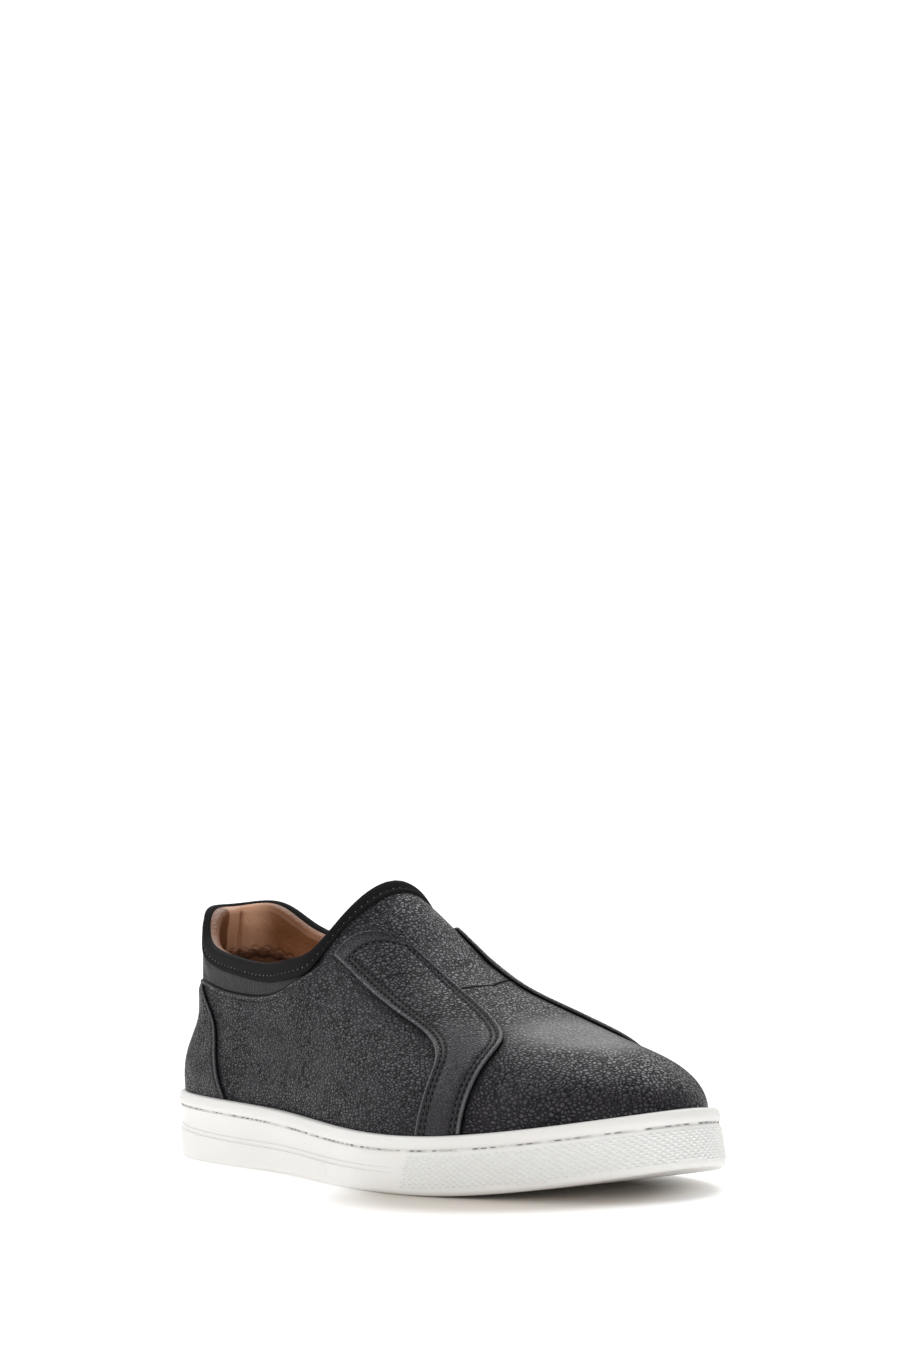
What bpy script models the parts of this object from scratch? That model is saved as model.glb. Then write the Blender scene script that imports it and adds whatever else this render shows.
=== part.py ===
"""A slip-on leather sneaker for the right foot, empty and standing on its cup sole.

X runs from the heel to the toe, Y from the outer side of the foot to the inner side, Z up.
The frame's origin is on the floor, under the middle of the sole's box.

Every curved piece is worked out from the same two functions. outline() is the sole seen from
above, and skin() is the outer face of the upper. A station is an angle around the shoe: 0 at
the back of the heel, half a turn at the toe, the outer side first. A climb runs up the upper
from 0 at the sole to 1 on the ridge over the instep.
"""

import bpy
import bmesh
import numpy as np
from mathutils import Matrix

# Driving sizes, in metres
LENGTH = 0.298
BALL_WIDTH = 0.1076
INSTEP_HEIGHT = 0.1085
HEEL_HEIGHT = 0.099
RIM_HEIGHT = 0.0268
TOE_SPRING = 0.0103
LEATHER = 0.0018
OVERLAY = 0.0011
PADDING = 0.0042
GAP = 0.0003
OVERLAY_GAP = 0.0004

# Sizes of the sole, and the shares of the length where its arch, lift and spring lie
TREAD_EDGE = 0.0022
ARCH_LIFT = 0.0007
ARCH_FROM = 0.22
ARCH_TO = 0.58
HEEL_LIFT = 0.0020
HEEL_LIFT_TO = 0.05
SPRING_FROM = 0.68
TOE_FLARE = 0.0020
FLARE_FROM = 0.45
SIDE_STEP = 0.0005
STEP_UP_SIDE = 0.48
STEP_FADES_FROM = 0.64
STEP_FADES_TO = 0.72
GROOVE_UNDER_RIM = 0.0040
GROOVE_WIDTH = 0.0012
GROOVE_DEPTH = 0.0008
LIP_ROUND = 0.0016
CORNER_SHARE = 0.29
HEEL_FLOOR = 0.0140
TOE_FLOOR = 0.0090
FLOOR_FALLS_FROM = 0.20
FLOOR_FALLS_TO = 0.60
INSOLE_THICK = 0.0040
LUG_DEPTH = 0.0016
LUG_GROOVE = 0.0024
LUG_SPAN = 0.80
LUG_PLACES = (0.07, 0.11, 0.15, 0.19, 0.50, 0.54, 0.58, 0.62, 0.66, 0.70, 0.74, 0.78, 0.82)

# Where the upper changes along its length, as shares of the length
HEEL_PIVOT = 0.168
TOE_PIVOT = 0.789
PIVOT_SOFTNESS = 0.040
QUARTER_FROM = 0.295
QUARTER_TO = 0.430
THROAT = 0.436
THROAT_REACH = 0.055
THROAT_ROUND = 0.65

# Sizes of the upper
TUCK = 0.002
SWELL_HEIGHT = 0.070
BAND_WIDTH = 0.009
BAND_AT_THROAT = 0.0028
COUNTER_TOP = 0.0685
PAD_HEIGHT = 0.022
PAD_BELOW_EDGE = 0.0012
PAD_STATIONS = 11

# The sole's edge: share of the length, outer side and inner side as shares of the ball width
OUTLINE = [
    (0.00, 0.000, 0.000),
    (0.06, -0.262, 0.252),
    (0.14, -0.332, 0.333),
    (0.24, -0.364, 0.355),
    (0.36, -0.404, 0.344),
    (0.48, -0.476, 0.370),
    (0.60, -0.530, 0.433),
    (0.70, -0.526, 0.471),
    (0.80, -0.459, 0.453),
    (0.90, -0.325, 0.368),
    (0.96, -0.192, 0.262),
    (1.00, 0.038, 0.038),
]
# The white rim: share of the length, height as a share of the rim at the heel
RIM = [
    (0.00, 1.000),
    (0.25, 0.933),
    (0.45, 0.862),
    (0.68, 0.787),
    (0.85, 0.918),
    (0.94, 1.056),
    (1.00, 1.157),
]
# The upper's foot inside the sole's edge: share of the length, inset as a share of the leather
FOOT_INSET = [
    (0.00, 1.67),
    (0.10, 1.89),
    (0.30, 2.11),
    (0.80, 2.33),
    (0.93, 2.80),
    (1.00, 3.65),
]
# The ridge over the foot: share of the length, height as a share of the instep
RIDGE = [
    (0.000, 1.088),
    (0.250, 1.088),
    (0.380, 1.073),
    (0.437, 1.000),
    (0.480, 0.928),
    (0.530, 0.825),
    (0.600, 0.694),
    (0.700, 0.586),
    (0.800, 0.505),
    (0.900, 0.469),
    (1.000, 0.438),
]
# Where the ridge runs from side to side: share of the length, share of the ball width
RIDGE_SIDE = [
    (0.15, 0.008),
    (0.44, -0.008),
    (0.65, 0.018),
    (0.85, 0.028),
]
# How square a section is: share of the length, exponent across, exponent up
SQUARENESS = [
    (0.05, 2.60, 2.10),
    (0.30, 2.40, 2.15),
    (0.44, 2.00, 1.87),
    (0.62, 2.20, 2.10),
    (0.80, 2.30, 2.50),
    (1.00, 2.30, 2.45),
]
# How far a quarter leans in at the collar: share of the length, share of the heel height
LEAN = [
    (0.00, 0.068),
    (0.10, 0.081),
    (0.20, 0.068),
    (0.35, 0.057),
]
# How that lean is spread up the wall: share of the swell height, share of the lean
SWELL = [
    (0.00, 0.00),
    (0.10, -0.04),
    (0.20, 0.04),
    (0.30, 0.33),
    (0.43, 0.80),
    (0.56, 0.90),
    (0.70, 0.92),
    (0.85, 1.00),
    (1.00, 1.30),
    (1.30, 1.60),
    (2.00, 2.00),
]
# The collar's edge behind the throat: share of the length, outer and inner height as shares
# of the heel height
COLLAR = [
    (0.0000, 0.998, 0.998),
    (0.0076, 0.995, 1.002),
    (0.0300, 0.965, 1.008),
    (0.0545, 0.919, 0.999),
    (0.0810, 0.874, 0.969),
    (0.1280, 0.836, 0.903),
    (0.2000, 0.812, 0.850),
    (0.3130, 0.798, 0.828),
    (0.3790, 0.827, 0.853),
    (0.6000, 0.840, 0.860),
    (1.0000, 0.840, 0.860),
]
# A side strap from the throat down to the sole: the foot's share of the length and the climb,
# first along its rear edge and then along its front edge
STRAP = [
    (0.442, 0.52, 0.518, 0.80),
    (0.521, 0.53, 0.583, 0.85),
    (0.596, 0.55, 0.662, 0.84),
    (0.662, 0.53, 0.735, 0.77),
    (0.703, 0.44, 0.775, 0.66),
    (0.715, 0.32, 0.785, 0.46),
    (0.715, 0.17, 0.785, 0.24),
    (0.708, 0.02, 0.779, 0.03),
]
STRAP_CROWN = 0.013
CROWN_FADE = 4
INNER_STRAP_DROP = 0.07
INNER_STRAP_BACK = 0.025
# The heel counter's edge: share of the way up from the rim, share of the length
COUNTER = [
    (0.00, 0.202),
    (0.16, 0.187),
    (0.38, 0.169),
    (0.64, 0.132),
    (0.78, 0.105),
    (1.00, 0.066),
]

# How finely the pieces are divided
HEEL_STATIONS = 12
THROAT_STATIONS = 8
TOE_STATIONS = 18
TOE_CROWDING = 1.25
CLIMBS = 13
FILL_ROWS = 2
STRAP_DOWN = 22
STRAP_ACROSS = 8
COUNTER_UP = 10
COUNTER_ROUND = 21
BAND_ROWS = 4
PAD_ROWS = 6

TURN = 2 * np.pi
NUDGE = 1e-4
LOWEST_CLIMB = 0.002
HALVINGS = 30


def column(table, number):
    return np.array([row[number] for row in table], float)


def spline(xs, ys, x):
    """A smooth curve through the points, held at its end values outside them."""
    wide = np.diff(xs)
    rows = np.eye(len(xs))
    right = np.zeros(len(xs))
    for i in range(1, len(xs) - 1):
        rows[i, i - 1 : i + 2] = wide[i - 1], 2 * (wide[i - 1] + wide[i]), wide[i]
        right[i] = 6 * ((ys[i + 1] - ys[i]) / wide[i] - (ys[i] - ys[i - 1]) / wide[i - 1])
    bend = np.linalg.solve(rows, right)
    x = np.clip(x, xs[0], xs[-1])
    i = np.clip(np.searchsorted(xs, x, side="right") - 1, 0, len(xs) - 2)
    a = (xs[i + 1] - x) / wide[i]
    b = (x - xs[i]) / wide[i]
    curved = (a**3 - a) * bend[i] + (b**3 - b) * bend[i + 1]
    return a * ys[i] + b * ys[i + 1] + curved * wide[i] ** 2 / 6


def along(table, share, number=1):
    """A column of a table, at a share of the length."""
    return spline(column(table, 0), column(table, number), share)


def around(table, station):
    """A table with an outer and an inner column, as one loop around the shoe."""
    angle = station_at(column(table, 0))
    angles = np.concatenate([angle, TURN - angle[-2:0:-1]])
    values = np.concatenate([column(table, 1), column(table, 2)[-2:0:-1]])
    angles = np.concatenate([angles[-3:] - TURN, angles, angles[:4] + TURN])
    values = np.concatenate([values[-3:], values, values[:4]])
    return spline(angles, values, np.mod(station, TURN))


def ramp(value, start, end):
    """0 before the start, 1 after the end, and straight between them."""
    return np.clip((value - start) / (end - start), 0, 1)


def share_at(station):
    return (1 - np.cos(station)) / 2


def station_at(share):
    """The station on the outer side at this share of the length."""
    return np.arccos(1 - 2 * np.clip(share, 0, 1))


def outline(station, inset=0.0):
    """The sole's edge seen from above, moved in by an inset."""

    def edge(angle):
        return np.array([LENGTH * share_at(angle), BALL_WIDTH * around(OUTLINE, angle)])

    point = edge(station)
    way = edge(station + NUDGE) - edge(station - NUDGE)
    way = way / np.hypot(way[0], way[1])
    return point[0] - way[1] * inset, point[1] + way[0] * inset


def foot_inset(share):
    return LEATHER * along(FOOT_INSET, share)


def ground(share):
    """The underside: flat at the heel and the ball, lifted at the back edge, arch and toe."""
    spring = TOE_SPRING * ramp(share, SPRING_FROM, 1) ** 2
    arch = ARCH_LIFT * np.sin(np.pi * ramp(share, ARCH_FROM, ARCH_TO)) ** 2
    back = HEEL_LIFT * (1 - ramp(share, 0, HEEL_LIFT_TO)) ** 2
    return spring + arch + back


def rim(share):
    return RIM_HEIGHT * along(RIM, share)


def cup_floor(share):
    """The bottom of the cup, thicker under the heel."""
    thinner = (HEEL_FLOOR - TOE_FLOOR) * ramp(share, FLOOR_FALLS_FROM, FLOOR_FALLS_TO)
    return ground(share) + HEEL_FLOOR - thinner


def spine(station):
    """Where a station's section ends, inward: the sections fan out at the heel and the toe."""
    share = share_at(station)
    share = share - PIVOT_SOFTNESS * np.logaddexp(0, (share - TOE_PIVOT) / PIVOT_SOFTNESS)
    share = share + PIVOT_SOFTNESS * np.logaddexp(0, (HEEL_PIVOT - share) / PIVOT_SOFTNESS)
    return LENGTH * share, BALL_WIDTH * along(RIDGE_SIDE, share)


def skin(station, climb):
    """The upper's outer face. Behind the throat the climb is cut off at the collar."""
    foot_x, foot_y = outline(station, foot_inset(share_at(station)))
    middle_x, middle_y = spine(station)
    share = foot_x / LENGTH
    angle = np.pi / 2 * np.clip(climb, 0, 1)
    rise = np.sin(angle) ** (2 / along(SQUARENESS, share, 2))
    arched = np.cos(angle) ** (2 / along(SQUARENESS, share, 1))
    base = rim(share) - TUCK
    up = (INSTEP_HEIGHT * along(RIDGE, share) - base) * rise
    lean = HEEL_HEIGHT * along(LEAN, share) / np.hypot(foot_x - middle_x, foot_y - middle_y)
    upright = 1 - lean * along(SWELL, up / SWELL_HEIGHT)
    blend = ramp(share, QUARTER_FROM, QUARTER_TO)
    out = upright + (arched - upright) * blend**2 * (3 - 2 * blend)
    x = middle_x + (foot_x - middle_x) * out
    y = middle_y + (foot_y - middle_y) * out
    z = base + (INSTEP_HEIGHT * along(RIDGE, x / LENGTH) - base) * rise
    return np.stack([x, y, z], -1)


def lifted(station, climb, distance):
    """The outer face moved out along its normal."""
    station, climb = np.broadcast_arrays(station, climb)
    low = np.clip(climb - NUDGE, LOWEST_CLIMB, 1)
    high = np.clip(climb + NUDGE, 2 * LOWEST_CLIMB, 1)
    sideways = skin(station + NUDGE, climb) - skin(station - NUDGE, climb)
    upward = skin(station, high) - skin(station, low)
    normal = np.cross(sideways, upward)
    normal /= np.linalg.norm(normal, axis=-1, keepdims=True)
    return skin(station, climb) + normal * distance


def climb_to(station, height):
    """The climb at which the outer face reaches a height, by halving."""
    low = np.zeros(np.shape(station))
    high = np.ones(np.shape(station))
    for _ in range(HALVINGS):
        middle = (low + high) / 2
        under = skin(station, middle)[..., 2] < height
        low = np.where(under, middle, low)
        high = np.where(under, high, middle)
    return (low + high) / 2


def throat_share(station):
    """0 where the collar starts to rise to the throat, 1 at the throat."""
    return ramp(share_at(station), THROAT - THROAT_REACH, THROAT)


def collar(station):
    """The climb at which the collar's edge cuts the outer face, 1 from the throat forward."""
    side = HEEL_HEIGHT * around(COLLAR, station)
    rise = 1 - np.clip(1 - throat_share(station) ** 2, 0, 1) ** THROAT_ROUND
    height = side + (INSTEP_HEIGHT - side) * rise
    behind = throat_share(station) < 1 - NUDGE
    return np.where(behind, climb_to(station, height), 1.0)


def half_stations():
    """Stations along the outer side, close together where the collar rises to the throat."""
    throat = station_at(THROAT)
    heel = np.linspace(0, station_at(THROAT - THROAT_REACH), HEEL_STATIONS)
    across = np.linspace(1, 0, THROAT_STATIONS + 1)[1:-1]
    forward = np.sqrt(1 - across ** (2 / THROAT_ROUND))
    rise = station_at(THROAT - THROAT_REACH * (1 - forward))
    front = throat + (np.pi - throat) * np.linspace(0, 1, TOE_STATIONS) ** TOE_CROWDING
    return np.concatenate([heel, rise, front])


def all_stations():
    half = half_stations()
    return np.concatenate([half, TURN - half[-2:0:-1]])


def make_material(name, colour, roughness, metallic=0.0):
    material = bpy.data.materials.new(name)
    material.use_nodes = True
    shader = material.node_tree.nodes["Principled BSDF"]
    shader.inputs["Base Color"].default_value = (*colour, 1.0)
    shader.inputs["Roughness"].default_value = roughness
    shader.inputs["Metallic"].default_value = metallic
    return material


def loft(name, rows, material, closed=True, thickness=0.0, offset=-1.0):
    """A mesh through rows of points. Rows that meet share their points.

    With a thickness it is an open sheet that a Solidify modifier makes a wall of.
    """
    mesh = bpy.data.meshes.new(name)
    work = bmesh.new()
    grid = [[work.verts.new(tuple(point)) for point in row] for row in rows]
    across = len(grid[0])
    for low, high in zip(grid, grid[1:]):
        for i in range(across if closed else across - 1):
            j = (i + 1) % across
            work.faces.new((low[i], low[j], high[j], high[i]))
    bmesh.ops.remove_doubles(work, verts=work.verts, dist=GAP / 30)
    work.to_mesh(mesh)
    work.free()
    mesh.materials.append(material)
    mesh.shade_smooth()
    piece = bpy.data.objects.new(name, mesh)
    shoe.objects.link(piece)
    if thickness:
        wall = piece.modifiers.new("Wall", "SOLIDIFY")
        wall.thickness = thickness
        wall.offset = offset
        wall.use_even_offset = True
        wall.use_rim = True
    return piece


def centred(points):
    """From heel-based coordinates into the frame, whose origin is under the box's middle."""
    return np.asarray(points) - np.array([LENGTH / 2, MIDDLE_Y, 0.0])


def inward(edge, heights, amounts):
    """Rows from an edge in to the spine, where the two sides meet."""
    middle_x, middle_y = spine(all_stations())
    rows = []
    for amount in amounts:
        x = edge[:, 0] + (middle_x - edge[:, 0]) * amount
        y = edge[:, 1] + (middle_y - edge[:, 1]) * amount
        rows.append(np.stack([x, y, heights(x / LENGTH)], -1))
    return rows


def sole_wall(station):
    """The sole's section at each station, from the tread's edge over the lip into the cup."""
    share = share_at(station)
    low = ground(share)
    top = rim(share)
    middle = low + STEP_UP_SIDE * (top - low)
    flare = TOE_FLARE * ramp(share, FLARE_FROM, 1) ** 2
    step = SIDE_STEP * (1 - ramp(share, STEP_FADES_FROM, STEP_FADES_TO))
    corner = TREAD_EDGE * CORNER_SHARE
    under = top - GROOVE_UNDER_RIM - GROOVE_WIDTH
    over = top - GROOVE_UNDER_RIM
    soften = GROOVE_WIDTH / 4
    shoulder = LIP_ROUND * CORNER_SHARE
    cup = foot_inset(share) - GAP
    return [
        (TREAD_EDGE, low),
        (corner, low + corner),
        (0, low + TREAD_EDGE),
        (flare / 2, middle - SIDE_STEP),
        (flare / 2 + step, middle + SIDE_STEP),
        (flare + step, under - soften),
        (flare + GROOVE_DEPTH, under + soften),
        (flare + GROOVE_DEPTH, over - soften),
        (flare, over + soften),
        (flare, top - LIP_ROUND),
        (flare + shoulder, top - shoulder),
        (flare + LIP_ROUND, top),
        (cup, top),
        (cup, cup_floor(share)),
    ]


def make_cupsole():
    station = all_stations()
    rows = []
    for inset, height in sole_wall(station):
        x, y = outline(station, inset)
        rows.append(np.stack([x, y, height + 0 * x], -1))
    steps = np.linspace(0, 1, FILL_ROWS + 1)
    under = inward(rows[0], ground, steps[:0:-1])
    inside = inward(rows[-1], cup_floor, steps[1:])
    sole = loft("cupsole", centred(under + rows + inside), white_rubber)
    grooves = sole.modifiers.new("Lug grooves", "BOOLEAN")
    grooves.operation = "DIFFERENCE"
    grooves.solver = "EXACT"
    grooves.object = lug_cutter()


def lug_cutter():
    """Bars that cut the grooves between the lugs, each short of the sole's edge."""
    work = bmesh.new()
    for place in LUG_PLACES:
        outer, inner = BALL_WIDTH * around(OUTLINE, np.array([1, -1]) * station_at(place))
        size = Matrix.Diagonal((LUG_GROOVE, (inner - outer) * LUG_SPAN, 2 * LUG_DEPTH, 1))
        middle = centred([LENGTH * place, (inner + outer) / 2, ground(place)])
        bmesh.ops.create_cube(work, size=1.0, matrix=Matrix.Translation(middle) @ size)
    mesh = bpy.data.meshes.new("lug_cutter")
    work.to_mesh(mesh)
    work.free()
    bars = bpy.data.objects.new("lug_cutter", mesh)
    bars.hide_render = True
    bars.display_type = "WIRE"
    cutters.objects.link(bars)
    return bars


def make_insole():
    station = all_stations()
    share = share_at(station)
    clear = foot_inset(share) + LEATHER + 2 * GAP
    x, y = outline(station, clear)

    def bottom(part):
        return cup_floor(part) + 2 * GAP

    def top(part):
        return bottom(part) + INSOLE_THICK

    edge = np.stack([x, y, bottom(share)], -1)
    brow = np.stack([x, y, top(share) - LIP_ROUND / 2], -1)
    inner_x, inner_y = outline(station, clear + LIP_ROUND)
    shelf = np.stack([inner_x, inner_y, top(share)], -1)
    steps = np.linspace(0, 1, FILL_ROWS + 1)
    rows = inward(edge, bottom, steps[:0:-1]) + [edge, brow, shelf]
    loft("insole", centred(rows + inward(shelf, top, steps[1:])), tan_lining)


def make_upper():
    station = all_stations()
    edge = collar(station)
    share = share_at(station)
    foot_x, foot_y = outline(station, foot_inset(share))
    rows = [np.stack([foot_x, foot_y, cup_floor(share) + GAP], -1)]
    for part in np.linspace(0, 1, CLIMBS + 1):
        rows.append(skin(station, edge * part))
    loft("upper", centred(rows), black_leather, thickness=LEATHER)


def make_strap(name, outer_side):
    down = np.linspace(0, 1, STRAP_DOWN)
    knots = np.linspace(0, 1, len(STRAP))
    rear_share, rear_climb, front_share, front_climb = (
        spline(knots, column(STRAP, number), down) for number in range(4)
    )
    drop = 0 if outer_side else INNER_STRAP_DROP * np.sqrt(1 - down)
    back = 0 if outer_side else INNER_STRAP_BACK * (1 - down) ** 2
    rows = []
    for part in np.linspace(0, 1, STRAP_ACROSS):
        crown = STRAP_CROWN * np.sin(np.pi * part) * (1 - down) ** CROWN_FADE
        share = rear_share + (front_share - back - rear_share) * part - crown
        climb = rear_climb + (front_climb - rear_climb) * part - drop
        station = station_at(share) if outer_side else TURN - station_at(share)
        low = climb_to(station, rim(share_at(station)) + GAP)
        climb = low + (climb - climb[-1]) * (climb[0] - low) / (climb[0] - climb[-1])
        rows.append(lifted(station, climb, OVERLAY_GAP))
    if not outer_side:
        rows.reverse()
    loft(name, centred(rows), black_leather, closed=False, thickness=OVERLAY, offset=1.0)


def make_counter():
    rows = []
    for part in np.linspace(0, 1, COUNTER_UP):
        edge = station_at(along(COUNTER, part))
        station = np.linspace(-edge, edge, COUNTER_ROUND)
        low = rim(share_at(station)) + GAP
        climb = climb_to(station, low + (COUNTER_TOP - low) * part)
        rows.append(lifted(station, climb, OVERLAY_GAP))
    loft("heel_counter", centred(rows), black_leather, closed=False, thickness=OVERLAY, offset=1.0)


def make_band():
    half = half_stations()
    half = half[half <= station_at(THROAT) + NUDGE]
    station = np.concatenate([half, TURN - half[-2:0:-1]])
    edge = collar(station)
    side = np.where(station <= np.pi, 1.0, -1.0)
    near = throat_share(station) ** 2
    forward = station_at(THROAT + BAND_AT_THROAT / LENGTH) - station_at(THROAT)
    height = skin(station, edge)[..., 2]
    below = climb_to(station, height - BAND_WIDTH)
    low = below + (edge - below) * near
    rows = []
    for part in np.linspace(0, 1, BAND_ROWS):
        ahead = station + side * forward * near * (1 - part)
        rows.append(lifted(ahead, low + (edge - low) * part, OVERLAY_GAP))
    loft("collar_band", centred(rows), black_textile, thickness=OVERLAY, offset=1.0)


def make_padding():
    """The padded lining behind the collar, from one side of the throat round the heel."""
    half = half_stations()[:PAD_STATIONS]
    station = np.concatenate([-half[:0:-1], half])
    top = skin(station, collar(station))[..., 2] - PAD_BELOW_EDGE
    rows = []
    for part in np.linspace(0, 1, PAD_ROWS):
        climb = climb_to(station, top - PAD_HEIGHT * (1 - part))
        rows.append(lifted(station, climb, -LEATHER - GAP))
    loft("collar_padding", centred(rows), tan_lining, closed=False, thickness=PADDING)


for old in list(bpy.data.objects):
    bpy.data.objects.remove(old, do_unlink=True)

shoe = bpy.data.collections.new("slip_on_sneaker")
cutters = bpy.data.collections.new("cutters")
bpy.context.scene.collection.children.link(shoe)
bpy.context.scene.collection.children.link(cutters)

black_leather = make_material("Black grained leather", (0.030, 0.029, 0.031), 0.45)
black_textile = make_material("Black stretch textile", (0.014, 0.014, 0.015), 0.85)
tan_lining = make_material("Tan lining leather", (0.34, 0.15, 0.065), 0.5)
white_rubber = make_material("White rubber", (0.80, 0.79, 0.76), 0.5)

edge_y = BALL_WIDTH * around(OUTLINE, np.linspace(0, TURN, 721))
MIDDLE_Y = (edge_y.max() + edge_y.min()) / 2

make_cupsole()
make_insole()
make_upper()
make_strap("strap_outer", True)
make_strap("strap_inner", False)
make_counter()
make_band()
make_padding()
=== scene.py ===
# %% [markdown]
# # A black slip-on leather sneaker
#
# The real thing is a right shoe: a black grained-leather upper with no laces, two side straps
# sewn over it, a stretch textile band round the collar, a tan lining, and a white rubber cup
# sole with a stitched groove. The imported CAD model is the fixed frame: it says how big every
# piece is and where it lies. This lesson dresses it, one piece at a time.
#
# Every curved piece is cut from one surface, as a shoemaker cuts every panel on one last. So
# the lesson starts with that surface, and the pieces follow as patches of it.

import bmesh
import bpy
import numpy as np
from mathutils import Matrix, Vector


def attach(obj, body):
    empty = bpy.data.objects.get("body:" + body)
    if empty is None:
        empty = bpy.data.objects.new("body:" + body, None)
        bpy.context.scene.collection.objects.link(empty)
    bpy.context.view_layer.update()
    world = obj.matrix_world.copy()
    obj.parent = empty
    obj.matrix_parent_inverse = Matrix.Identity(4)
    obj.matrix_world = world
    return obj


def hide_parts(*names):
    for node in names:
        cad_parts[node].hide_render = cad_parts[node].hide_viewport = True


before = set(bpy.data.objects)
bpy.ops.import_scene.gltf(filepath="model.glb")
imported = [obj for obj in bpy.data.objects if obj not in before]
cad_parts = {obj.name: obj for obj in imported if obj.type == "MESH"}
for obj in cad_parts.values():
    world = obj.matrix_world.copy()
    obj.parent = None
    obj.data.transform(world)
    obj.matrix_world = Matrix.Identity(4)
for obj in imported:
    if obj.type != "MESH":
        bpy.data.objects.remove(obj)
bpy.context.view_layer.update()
print("CAD nodes:", sorted(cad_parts))

# %% [markdown]
# ## The camera
#
# The photograph was taken with a long lens from the outer side, a little in front of the shoe
# and a little above it. The camera stands 1.58 m away. Its roll and aim were found by laying
# the sole's edge, rim and collar over the picture. A long lens keeps the toe from looking
# bloated, so the lens matters as much as the angle.

# %% The camera
PHOTO_WIDTH, PHOTO_HEIGHT = 900, 1350
FOCAL_PIXELS = 4157.9
SENSOR_MM = 36.0
AZIMUTH = np.radians(53.811)
ELEVATION = np.radians(4.457)
ROLL = np.radians(1.759)
DISTANCE = 1.5776
AIM = Vector((0.0, 0.0033, 0.040))
AIM_PIXEL = (430.743, 1065.634)


def photo_camera():
    """A camera that sees the aim point at its pixel of the photograph, rolled as it was."""
    back = Vector(
        (
            np.sin(AZIMUTH) * np.cos(ELEVATION),
            -np.cos(AZIMUTH) * np.cos(ELEVATION),
            np.sin(ELEVATION),
        )
    )
    right = Vector((np.cos(AZIMUTH), np.sin(AZIMUTH), 0.0))
    up = back.cross(right)
    right, up = (
        right * np.cos(ROLL) - up * np.sin(ROLL),
        up * np.cos(ROLL) + right * np.sin(ROLL),
    )
    ahead = -back
    side = (AIM_PIXEL[0] - PHOTO_WIDTH / 2) / FOCAL_PIXELS
    rise = -(AIM_PIXEL[1] - PHOTO_HEIGHT / 2) / FOCAL_PIXELS
    yaw = np.arctan(side)
    pitch = np.arctan(rise / np.sqrt(1 + side * side))
    turned = right * np.cos(yaw) + ahead * np.sin(yaw)
    ahead = ahead * np.cos(yaw) - right * np.sin(yaw)
    raised = up * np.cos(pitch) + ahead * np.sin(pitch)
    ahead = ahead * np.cos(pitch) - up * np.sin(pitch)
    lens = bpy.data.cameras.new("photo_camera")
    lens.sensor_fit = "AUTO"
    lens.sensor_width = SENSOR_MM
    lens.lens = FOCAL_PIXELS * SENSOR_MM / PHOTO_HEIGHT
    lens.clip_start = 0.05
    camera = bpy.data.objects.new("photo_camera", lens)
    place = Matrix((turned, raised, -ahead)).transposed().to_4x4()
    place.translation = AIM + back * DISTANCE
    camera.matrix_world = place
    bpy.context.scene.collection.objects.link(camera)
    bpy.context.scene.camera = camera
    print(f"camera: {lens.lens:.1f} mm lens, {DISTANCE:.2f} m from the shoe")


photo_camera()

# %% [markdown]
# ## Wiring
#
# Shader and geometry trees are easier to read as sums than as boxes and lines. A `Wire` is
# one output socket. Adding, taking or multiplying wires adds the Math node that does it. A
# `Bench` holds a tree and has one method that adds any other node: its type, its settings,
# which are set first, and what goes into its sockets.

# %% Wiring
class Wire:
    """One output of a node, which can be used in a sum."""

    def __init__(self, bench, socket):
        self.bench = bench
        self.socket = socket

    def __add__(self, other):
        return self.bench.sum("ADD", self, other)

    def __radd__(self, other):
        return self.bench.sum("ADD", other, self)

    def __sub__(self, other):
        return self.bench.sum("SUBTRACT", self, other)

    def __rsub__(self, other):
        return self.bench.sum("SUBTRACT", other, self)

    def __mul__(self, other):
        return self.bench.sum("MULTIPLY", self, other)

    def __rmul__(self, other):
        return self.bench.sum("MULTIPLY", other, self)

    def __truediv__(self, other):
        return self.bench.sum("DIVIDE", self, other)

    def __pow__(self, other):
        return self.bench.sum("POWER", self, other)


class Bench:
    """A node tree being wired."""

    def __init__(self, tree):
        self.tree = tree

    def node(self, kind, settings=None, sockets=None, out=0):
        """Adds a node and gives the wire of one of its outputs."""
        made = self.tree.nodes.new(kind)
        for name, value in (settings or {}).items():
            setattr(made, name, value)
        for name, value in (sockets or {}).items():
            if isinstance(value, Wire):
                self.tree.links.new(value.socket, made.inputs[name])
            else:
                made.inputs[name].default_value = value
        return Wire(self, made.outputs[out])

    def sum(self, operation, first, second):
        return self.node("ShaderNodeMath", {"operation": operation}, {0: first, 1: second})

    def smooth(self, value, start, end):
        """0 before the start, 1 after the end, with soft ends."""
        sockets = {"Value": value, "From Min": start, "From Max": end}
        return self.node("ShaderNodeMapRange", {"interpolation_type": "SMOOTHSTEP"}, sockets)

    def vector_sum(self, operation, first, second, out=0):
        sockets = {0: first, 1: second}
        return self.node("ShaderNodeVectorMath", {"operation": operation}, sockets, out)

    def scaled(self, vector, by):
        sockets = {0: vector, "Scale": by}
        return self.node("ShaderNodeVectorMath", {"operation": "SCALE"}, sockets)

    def blend(self, share, one, other):
        """A colour between two colours."""
        sockets = {0: share, 6: one, 7: other}
        return self.node("ShaderNodeMix", {"data_type": "RGBA"}, sockets, out=2)

    def mark(self, name):
        """A value painted on the mesh."""
        return self.node("ShaderNodeAttribute", {"attribute_name": name}, out="Fac")


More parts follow.
